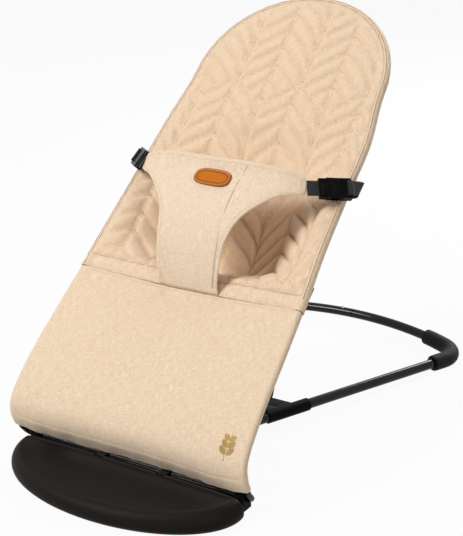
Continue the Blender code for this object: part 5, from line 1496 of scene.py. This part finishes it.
@dataclass
class Fittings:
    """Moulded fittings whose CAD shapes are right: they only get rounded edges and their finish."""

    merge: float = 1e-5
    flat_angle: float = math.radians(1.5)
    sharp_angle: float = math.radians(35)
    plate_edge: float = 0.0003
    clip_edge: float = 0.0004
    plug_edge: float = 0.0005
    housing_edge: float = 0.0006
    adjuster_edge: float = 0.0007

    def rounded(self, node: str, name: str, finish: Finish, body: Body, width: float) -> bpy.types.Object:
        """Makes a piece from a CAD node with its edges rounded.

        Args:
            node: The CAD node.
            name: The piece's name.
            finish: Its finish.
            body: The body that it rides on.
            width: The rounding, in metres.

        Returns:
            The piece.
        """
        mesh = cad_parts[node].data.copy()
        mesh.name = name
        with edited(mesh) as bm:
            bmesh.ops.remove_doubles(bm, verts=bm.verts[:], dist=self.merge)
            bmesh.ops.dissolve_limit(bm, angle_limit=self.flat_angle, verts=bm.verts[:], edges=bm.edges[:])
        for layer in list(mesh.attributes):
            if layer.name == "custom_normal":
                mesh.attributes.remove(layer)
        mesh.set_sharp_from_angle(angle=self.sharp_angle)
        piece = link(name, mesh)
        step = piece.modifiers.new("rounded_edges", "BEVEL")
        step.width = width
        step.segments = 2
        step.limit_method = "ANGLE"
        step.angle_limit = self.sharp_angle
        step.harden_normals = False
        return seat_on(piece, finish, body, node)

    def build(self) -> None:
        """Dresses the fittings on the base, the seat and the straps."""
        for node in [f"{kind}_{word}" for kind in ("hinge_bush", "hinge_clip") for word in SIDES]:
            self.rounded(node, f"{node}_moulded", FITTING_PLASTIC, Body.BASE, self.clip_edge)
        adjuster = "recline_adjuster"
        self.rounded(adjuster, f"{adjuster}_moulded", FITTING_PLASTIC, Body.BASE, self.adjuster_edge)
        self.rounded("foot_plate_base", "foot_plate_tray", FITTING_PLASTIC, Body.BASE, self.plate_edge)
        for word, plug in zip(SIDES, (Body.PLUG_LEFT, Body.PLUG_RIGHT)):
            saddle, housing, latch = (f"{kind}_{word}" for kind in ("bow_saddle", "buckle_housing", "buckle_latch"))
            self.rounded(saddle, f"{saddle}_moulded", FITTING_PLASTIC, Body.SEAT, self.clip_edge)
            self.rounded(f"buckle_socket_{word}", housing, BUCKLE_PLASTIC, Body.SEAT, self.housing_edge)
            self.rounded(f"buckle_plug_{word}", latch, BUCKLE_PLASTIC, plug, self.plug_edge)
        # These CAD nodes stay as they are
        screws = [f"plate_screw_{n}" for n in (1, 2, 3, 4)] + [f"adjuster_screw_{word}" for word in SIDES]
        for node in [*screws, "rear_tube_button"]:
            dress(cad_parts[node], SCREW_ZINC)
        for node in ("foot_pad_left", "foot_pad_right", "foot_pad_front", "bow_foot_sleeve"):
            dress(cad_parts[node], GRIP_RUBBER)


@dataclass
class TubeFrame:
    """Enamelled steel: the sprung wire of the seat, the support bow, and the base's tubes with their grips."""

    corner_x: float = 0.204
    corner_y: float = 0.539
    corner_z: float = 0.0095
    corner_bend: float = 0.036
    bar_bow: float = 0.046
    bar_rise: float = 0.008
    side_bend_x: float = 0.0615
    side_crest_z: float = 0.0185
    side_bend_y: float = 0.180
    socket_bend_y: float = 0.030
    socket_x: float = 0.052
    front_z: float = 0.0105
    socket_depth: float = 0.054
    side_joint_y: float = 0.462
    clamp_front_y: float = 0.200
    bow_pivot: tuple = (0.030, -0.0150)
    bow_foot: tuple = (0.232, 0.0275)
    bow_half_widths: tuple = (0.147, 0.133, 0.055)
    grip_radius: float = 0.0118
    grip_start: float = 0.024
    grip_length: float = 0.116
    # The groove behind each open end's lip: how far in, its reach, and its depth
    lip_groove: tuple = (0.0042, 0.0011, 0.0007)
    lip_round: float = 0.0006

    def side_point(self, y: float, side: int) -> Vector:
        """Gives the side tube's middle at a distance behind the hinge."""
        share = (self.corner_y - y) / (self.corner_y - self.clamp_front_y)
        z = self.corner_z + (self.side_crest_z - self.corner_z) * share
        slope = (self.corner_x - self.side_bend_x) / (self.corner_y - self.side_bend_y)
        return Vector((side * (self.corner_x - slope * (self.corner_y - y)), y, z))

    def bar_point(self, x: float) -> Vector:
        """Gives the rear bar's middle at a distance across."""
        share = 1 - (x / self.corner_x) ** 2
        return Vector((x, self.corner_y + self.bar_bow * share, self.corner_z + self.bar_rise * share))

    def side_path(self, side: int) -> list[Vector]:
        """Gives one side tube's route, from the foot plate to its joint."""
        front = Vector((side * self.socket_x, -self.socket_depth + 0.004, self.front_z))
        socket = Vector((side * self.socket_x, self.socket_bend_y, self.front_z))
        bend, back = self.side_point(self.side_bend_y, side), self.side_point(self.side_joint_y - GAP, side)
        return rounded_path([front, socket, bend, back], [0.12, 0.08], 16)

    def rear_path(self, side: int) -> list[Vector]:
        """Gives one rear tube's route, from its joint round the corner to just before the middle of the bar."""
        corner = Vector((side * self.corner_x, self.corner_y, self.corner_z))
        start, leave = self.side_point(self.side_joint_y, side), self.bar_point(side * (self.corner_x - 0.055))
        bar = [self.bar_point(side * x) for x in np.linspace(self.corner_x - 0.060, 0, 24)]
        bar[-1] += Vector((side * GAP * 1.5, 0, 0))
        return rounded_path([start, corner, leave], [self.corner_bend], 22) + bar

    def placed(self, path: Iterable[Vector]) -> list[Vector]:
        """Moves a path from the hinge's own place to the frame's."""
        return [p + Vector((0, HINGE_Y, 0)) for p in path]

    def build(self) -> None:
        """Builds the wire, the bow, the tubes and the grips."""
        wire = swept_tube("seat_wire", self.wire_path(), WIRE_RADIUS, 24, loop=True)
        seat_on(wire, TUBE_ENAMEL, Body.SEAT, "seat_frame")
        bow = swept_tube("bow_wire", self.bow_path(), WIRE_RADIUS, 24)
        seat_on(bow, TUBE_ENAMEL, Body.BOW, "support_bow")
        for word, side in SIDES.items():
            for kind, path in (("side", self.side_path(side)), ("rear", self.rear_path(side))):
                tube = swept_tube(f"{kind}_tube_{word}_enamelled", self.placed(path), TUBE_RADIUS)
                seat_on(tube, TUBE_ENAMEL, Body.BASE, f"{kind}_tube_{word}")
            self.grip(word, side)

    def wire_path(self) -> list[Vector]:
        """Gives the whole loop of the seat's wire."""
        hem_x = SEAT.stations[0][2]
        hem = Vector(SEAT.point(hem_x, 0.0)) - Vector((0, HINGE_Y, 0))
        bar = rounded_path([(0, 0, HINGE_Z), (hem_x, 0, HINGE_Z), hem], [0.010], 12)[:-1]
        points = self.placed(bar)
        for s in np.linspace(0, SEAT.round_start, 110)[:-1]:
            points.append(Vector(SEAT.point(SEAT.half_width(s), s)))
        for angle in np.linspace(0, math.pi / 2, 44):
            s = SEAT.round_start + (SEAT.length - SEAT.round_start) * math.sin(angle)
            points.append(Vector(SEAT.point(SEAT.top_half_width * math.cos(angle), s)))
        return points + [Vector((-p.x, p.y, p.z)) for p in points[-2:0:-1]]

    def bow_path(self) -> list[Vector]:
        """Gives the support bow's route, from pin to pin."""
        up, level = self.bow_pivot
        pivot = Vector(SEAT.point(0, SEAT.waist + up, level))
        foot = Vector((0, self.bow_foot[0] + HINGE_Y, self.bow_foot[1]))
        half = [(x, end.y, end.z) for x, end in zip(self.bow_half_widths, (pivot, pivot, foot))]
        mirrored = [(-x, y, z) for x, y, z in half]
        return rounded_path(mirrored + half[::-1], [0.008, 0.018, 0.018, 0.008], 12)

    def grip(self, word: str, side: int) -> None:
        """Builds one rubber grip round the rear corner, with lips at its open ends, flat where it stands."""
        route = np.array([tuple(p) for p in self.placed(self.rear_path(side))])
        at = np.linspace(self.grip_start, self.grip_start + self.grip_length, 64)
        path = np.stack([np.interp(at, lengths_along(route), axis) for axis in route.T], -1)
        gone = at - self.grip_start
        lip = np.minimum(gone, self.grip_length - gone)
        behind, reach, depth = self.lip_groove
        radii = self.grip_radius - depth * bell(lip - behind, reach)
        radii -= self.lip_round * np.exp(-lip / self.lip_round)
        grip = swept_tube(f"corner_grip_{word}_moulded", path, radii, 40)
        co = np.array([v.co for v in grip.data.vertices])
        co[:, 2] = np.maximum(co[:, 2], 0.0)
        grip.data.vertices.foreach_set("co", co.astype(np.float32).ravel())
        seat_on(grip, GRIP_RUBBER, Body.BASE, f"corner_grip_{word}")


@dataclass
class FootPlate:
    """The moulded upper shell of the foot plate: a rolled rim round a flat tread."""

    half_width: float = 0.168
    front: float = 0.112
    middle_y: float = -0.018
    rear_y: float = -0.0045
    wall: float = 0.0022
    rear_rise: float = 0.17
    tube_x: float = 0.052
    clip_x: float = 0.047
    rim_inset: float = 0.0065
    squeeze: float = 0.25
    squeeze_power: float = 0.6
    # Half the widths of the openings for a tube and for a clip
    tube_clear: float = 0.0118
    clip_clear: float = 0.0063
    outline_power: float = 2 / 3.2
    count: int = 200
    # How far in from the plan, and above the floor, from the lower edge over the rim to the tread
    profile: tuple = (
        (0.0042, 0.0030),
        (0.0010, 0.0070),
        (0.0000, 0.0125),
        (0.0016, 0.0185),
        (0.0055, 0.0235),
        (0.0115, 0.0262),
        (0.0190, 0.0250),
        (0.0270, 0.0243),
    )

    def outline(self, inset: float) -> np.ndarray:
        """Gives the D-shaped plan, drawn in by an inset, from the hinge's own place."""
        angle = np.linspace(0, math.tau, self.count, endpoint=False)
        sine, cosine = np.sin(angle), np.cos(angle)
        wide, ahead = self.half_width - inset, self.front + self.middle_y - inset
        behind = self.rear_y - self.middle_y - inset
        x = np.where(cosine >= 0, wide * sine, wide * np.sign(sine) * abs(sine) ** self.outline_power)
        y = np.where(cosine >= 0, -ahead * cosine, behind * abs(cosine) ** self.outline_power)
        return np.stack([x, self.middle_y + y], -1)

    def height(self, z: Any, y: np.ndarray) -> np.ndarray:
        """Makes heights grow towards the hinge, where the plate is thickest."""
        return z * (1 + self.rear_rise * np.clip((y + self.front) / (self.front + self.rear_y), 0, 1))

    def build(self) -> None:
        """Builds the shell, with openings for the tubes, the tray and the clips."""
        turn = np.cos(np.linspace(0, math.tau, self.count, endpoint=False))
        rings = []
        for inset, z in smooth_curve(self.profile, 6):
            # At the rear the rings are squeezed together, or they would fold over each other
            near = min(inset, self.rim_inset)
            ring, edge = self.outline(inset), self.outline(near)
            squeezed = edge[:, 1] - self.squeeze * (inset - near) * abs(turn) ** self.squeeze_power
            y = np.where(turn < 0, squeezed, ring[:, 1])
            rings.append(np.stack([ring[:, 0], y + HINGE_Y, self.height(z, y)], -1))
        last = rings[-1]
        middle = last.mean(axis=0)
        for share in (0.75, 0.5, 0.25):
            rings.append(middle + (last - middle) * share)
        for ring in rings[-3:]:
            ring[:, 2] = self.height(self.profile[-1][1], ring[:, 1] - HINGE_Y)
        shell = thicken(grid_mesh("foot_plate_shell", np.array(rings), around=True), self.wall)
        with edited(shell.data) as bm:
            close_rims(bm, above=0.02)
            bmesh.ops.recalc_face_normals(bm, faces=bm.faces[:])
            top = max(bm.faces, key=lambda f: f.calc_center_median().z)
            if top.normal.z < 0:
                bmesh.ops.reverse_faces(bm, faces=bm.faces[:])
        cutters = [self.box(low, high) for low, high in self.openings()]
        for cutter in cutters:
            cut = shell.modifiers.new("opening", "BOOLEAN")
            cut.object = cutter
            cut.operation = "DIFFERENCE"
            cut.solver = "MANIFOLD"
        plain_mesh(shell)
        for cutter in cutters:
            bpy.data.objects.remove(cutter)
        shell.data.shade_smooth()
        shell.data.set_sharp_from_angle(angle=math.radians(45))
        seat_on(shell, PLATE_PLASTIC, Body.BASE, "foot_plate_cover")

    def openings(self) -> list[tuple[tuple, tuple]]:
        """Gives the boxes that are cut away at the rear, from the hinge's own place."""
        rear, wide = self.rear_y, self.half_width + 0.001
        boxes = [((-wide, rear - 0.0092, -0.001), (wide, 0.02, 0.0043))]
        for side in SIDES.values():
            tube, clip = side * self.tube_x, side * self.clip_x
            near, far = tube - self.tube_clear, tube + self.tube_clear
            boxes.append(((near, rear - 0.012, -0.001), (far, 0.004, 0.0203)))
            near, far = clip - self.clip_clear, clip + self.clip_clear
            boxes.append(((near, rear - 0.0100, 0.0268), (far, 0.02, 0.04)))
        return boxes

    def box(self, low: Sequence[float], high: Sequence[float]) -> bpy.types.Object:
        """Makes a cutter between two corners that are given from the hinge's own place."""
        mesh = bpy.data.meshes.new("cutter")
        middle = (Vector(high) + Vector(low)) / 2 + Vector((0, HINGE_Y, 0))
        placed = Matrix.Translation(middle) @ Matrix.Diagonal((*(Vector(high) - Vector(low)), 1))
        with edited(mesh) as bm:
            bmesh.ops.create_cube(bm, size=1, matrix=placed)
        return link("cutter", mesh)


@dataclass
class Trimmings:
    """The blank tag under the hem, and a small sprig embroidered near the hem's right corner."""

    tag_x: float = -0.139
    tag_width: float = 0.039
    # How far it hangs below the hem, and is sewn in above
    tag_drop: float = 0.006
    tag_sewn: float = 0.012
    sprig_x: float = 0.148
    sprig_s: float = 0.060
    # Places along the stem, and lengths
    leaves: tuple = ((-0.009, 0.0125), (-0.001, 0.0115), (0.007, 0.0095))
    leaf_lean: float = math.radians(42)
    leaf_width: float = 0.0027

    def build(self) -> None:
        """Builds a folded blank satin tag sewn under the hem, and the sprig."""
        x, s = np.meshgrid(np.linspace(0, self.tag_width, 20), np.linspace(-self.tag_drop, self.tag_sewn, 12))
        h = -0.0006 - 0.0012 * np.sin(x / self.tag_width * math.pi) * np.clip((0.004 - s) / 0.01, 0, 1)
        x = x + self.tag_x
        points = SEAT.point(x, np.maximum(s, 0.0), h)
        points[..., 1:] += np.minimum(s, 0.0)[..., None] * (-0.2, 0.95)
        tag = cloth_sheet("hem_tag", points, np.stack([x, s], -1), TAG_CLOTH, cloth=0.0005)
        self.sprig()

    def on_panel(self, x: np.ndarray, s: np.ndarray) -> np.ndarray:
        """Places points just off the lower panel's front."""
        return SEAT.point(x, s, LOWER_PANEL.height(x, s, LOWER_PANEL.hem(x)) + GAP)

    def sprig(self) -> None:
        """Embroiders a leafy sprig in satin stitch: a stem, and a pair of leaves at each of three steps."""
        stem_up = np.linspace(-0.016, 0.015, 40)
        lines = [self.on_panel(self.sprig_x + 0.0012 * np.sin(stem_up / 0.008), self.sprig_s + stem_up)]
        for step, size in self.leaves:
            for side in SIDES.values():
                way_x, way_s = side * math.cos(self.leaf_lean), math.sin(self.leaf_lean)
                for part in np.linspace(0.08, 0.96, 16):
                    half = self.leaf_width * math.sin(part * math.pi) ** 0.8 + 0.0001
                    t = np.linspace(-half, half, 4)
                    x = self.sprig_x + side * 0.0004 + way_x * part * size - way_s * t
                    lines.append(self.on_panel(x, self.sprig_s + step + way_s * part * size + way_x * t))
        STITCHES.sew("hem_sprig_embroidery", lines, GOLD_THREAD, step=0.0007, length=0.0012, size=0.0006)


@dataclass
class Studio:
    """A pale floor, soft light, and the camera at the photograph's angle."""

    image: tuple = (463, 536)
    focal_pixels: float = 1295.87
    azimuth: float = 32.76
    elevation: float = 20.22
    roll: float = -1.16
    place: tuple = (0.8731, -1.3680, 0.8032)
    glow_share: float = 0.94
    room_light: float = 0.07
    # Name, place, what it looks at, size in metres and power in watts
    lamps: tuple = (
        ("key_softbox", (-1.1, -1.9, 2.3), (0, 0, 0.3), 1.1, 75),
        ("fill_softbox", (2.1, -1.4, 1.3), (0, 0, 0.25), 1.2, 14),
        ("top_softbox", (0.2, 0.9, 2.4), (0, 0, 0.3), 1.2, 14),
        ("rear_softbox", (0.1, 2.3, 1.35), (0, 0.1, 0.1), 1.0, 44),
    )

    def camera(self) -> None:
        """Sets the camera."""
        a, e, roll = (math.radians(v) for v in (self.azimuth, self.elevation, self.roll))
        ahead = Vector((-math.sin(a) * math.cos(e), math.cos(a) * math.cos(e), -math.sin(e)))
        right = Vector((math.cos(a), math.sin(a), 0))
        up = right.cross(ahead)
        across = right * math.cos(roll) + up * math.sin(roll)
        above = right * -math.sin(roll) + up * math.cos(roll)
        data = bpy.data.cameras.new("photo_camera")
        data.sensor_fit = "VERTICAL"
        data.sensor_height = 36.0
        data.lens = self.focal_pixels * data.sensor_height / self.image[1]
        data.clip_end = 60
        camera = bpy.data.objects.new("photo_camera", data)
        camera.matrix_world = Matrix.Translation(self.place) @ Matrix((across, above, -ahead)).transposed().to_4x4()
        bpy.context.scene.collection.objects.link(camera)
        bpy.context.scene.camera = camera

    def seen(self, tree: bpy.types.NodeTree) -> bpy.types.NodeSocket:
        """Gives a socket that is 1 where the camera or a glossy surface sees the background."""
        rays = add_node(tree, "ShaderNodeLightPath").node.outputs
        return add_node(
            tree, "ShaderNodeMath", {0: rays["Is Camera Ray"], 1: rays["Is Glossy Ray"]}, operation="MAXIMUM"
        )

    def floor(self) -> None:
        """Lays the floor: nearly white where it is seen, with a faint shadow, and pale paper to the light."""
        mesh = bpy.data.meshes.new("studio_floor")
        with edited(mesh) as bm:
            bmesh.ops.create_grid(bm, x_segments=1, y_segments=1, size=20)
        material = bpy.data.materials.new("studio_paper")
        material.use_nodes = True
        tree = material.node_tree
        shader = tree.nodes["Principled BSDF"]
        set_inputs(shader, {"Base Color": linear("#CFCFCD"), "Roughness": 0.95, "Specular IOR Level": 0.1})
        share = add_node(tree, "ShaderNodeMath", {0: self.seen(tree), 1: self.glow_share}, operation="MULTIPLY")
        glow = add_node(tree, "ShaderNodeEmission", {"Strength": 1.0})
        both = add_node(tree, "ShaderNodeMixShader", {0: share, 1: shader.outputs[0], 2: glow})
        set_inputs(tree.nodes["Material Output"], {"Surface": both})
        mesh.materials.append(material)
        link("studio_floor", mesh)

    def light(self) -> None:
        """Lights the object from a pale room and four soft lamps."""
        world = bpy.data.worlds.new("studio")
        bpy.context.scene.world = world
        world.use_nodes = True
        tree = world.node_tree
        shares = {"Value": self.seen(tree), "To Min": self.room_light, "To Max": 1.0}
        strength = add_node(tree, "ShaderNodeMapRange", shares)
        set_inputs(tree.nodes["Background"], {"Color": linear("#FFFFFF"), "Strength": strength})
        for name, place, aim, size, power in self.lamps:
            data = bpy.data.lights.new(name, "AREA")
            data.size = size
            data.energy = power
            lamp = bpy.data.objects.new(name, data)
            ahead = (Vector(aim) - Vector(place)).to_track_quat("-Z", "Y").to_matrix().to_4x4()
            lamp.matrix_world = Matrix.Translation(place) @ ahead
            bpy.context.scene.collection.objects.link(lamp)

    def build(self) -> None:
        """Sets up the whole studio."""
        self.camera()
        self.floor()
        self.light()
        bpy.context.scene.view_settings.view_transform = "Standard"


def main() -> None:
    """Builds every piece and reports it."""
    logging.basicConfig(level=logging.INFO, format="%(name)s %(message)s")
    back = (QuiltedBack(), FrameTunnel(), BackSling(), WaistBand())
    front = (RESTRAINT, LeatherPatch(), Straps(), Trimmings())
    for part in (Studio(), TubeFrame(), FootPlate(), Fittings(), LOWER_PANEL, *back, *front):
        part.build()


if __name__ == "__main__":
    main()
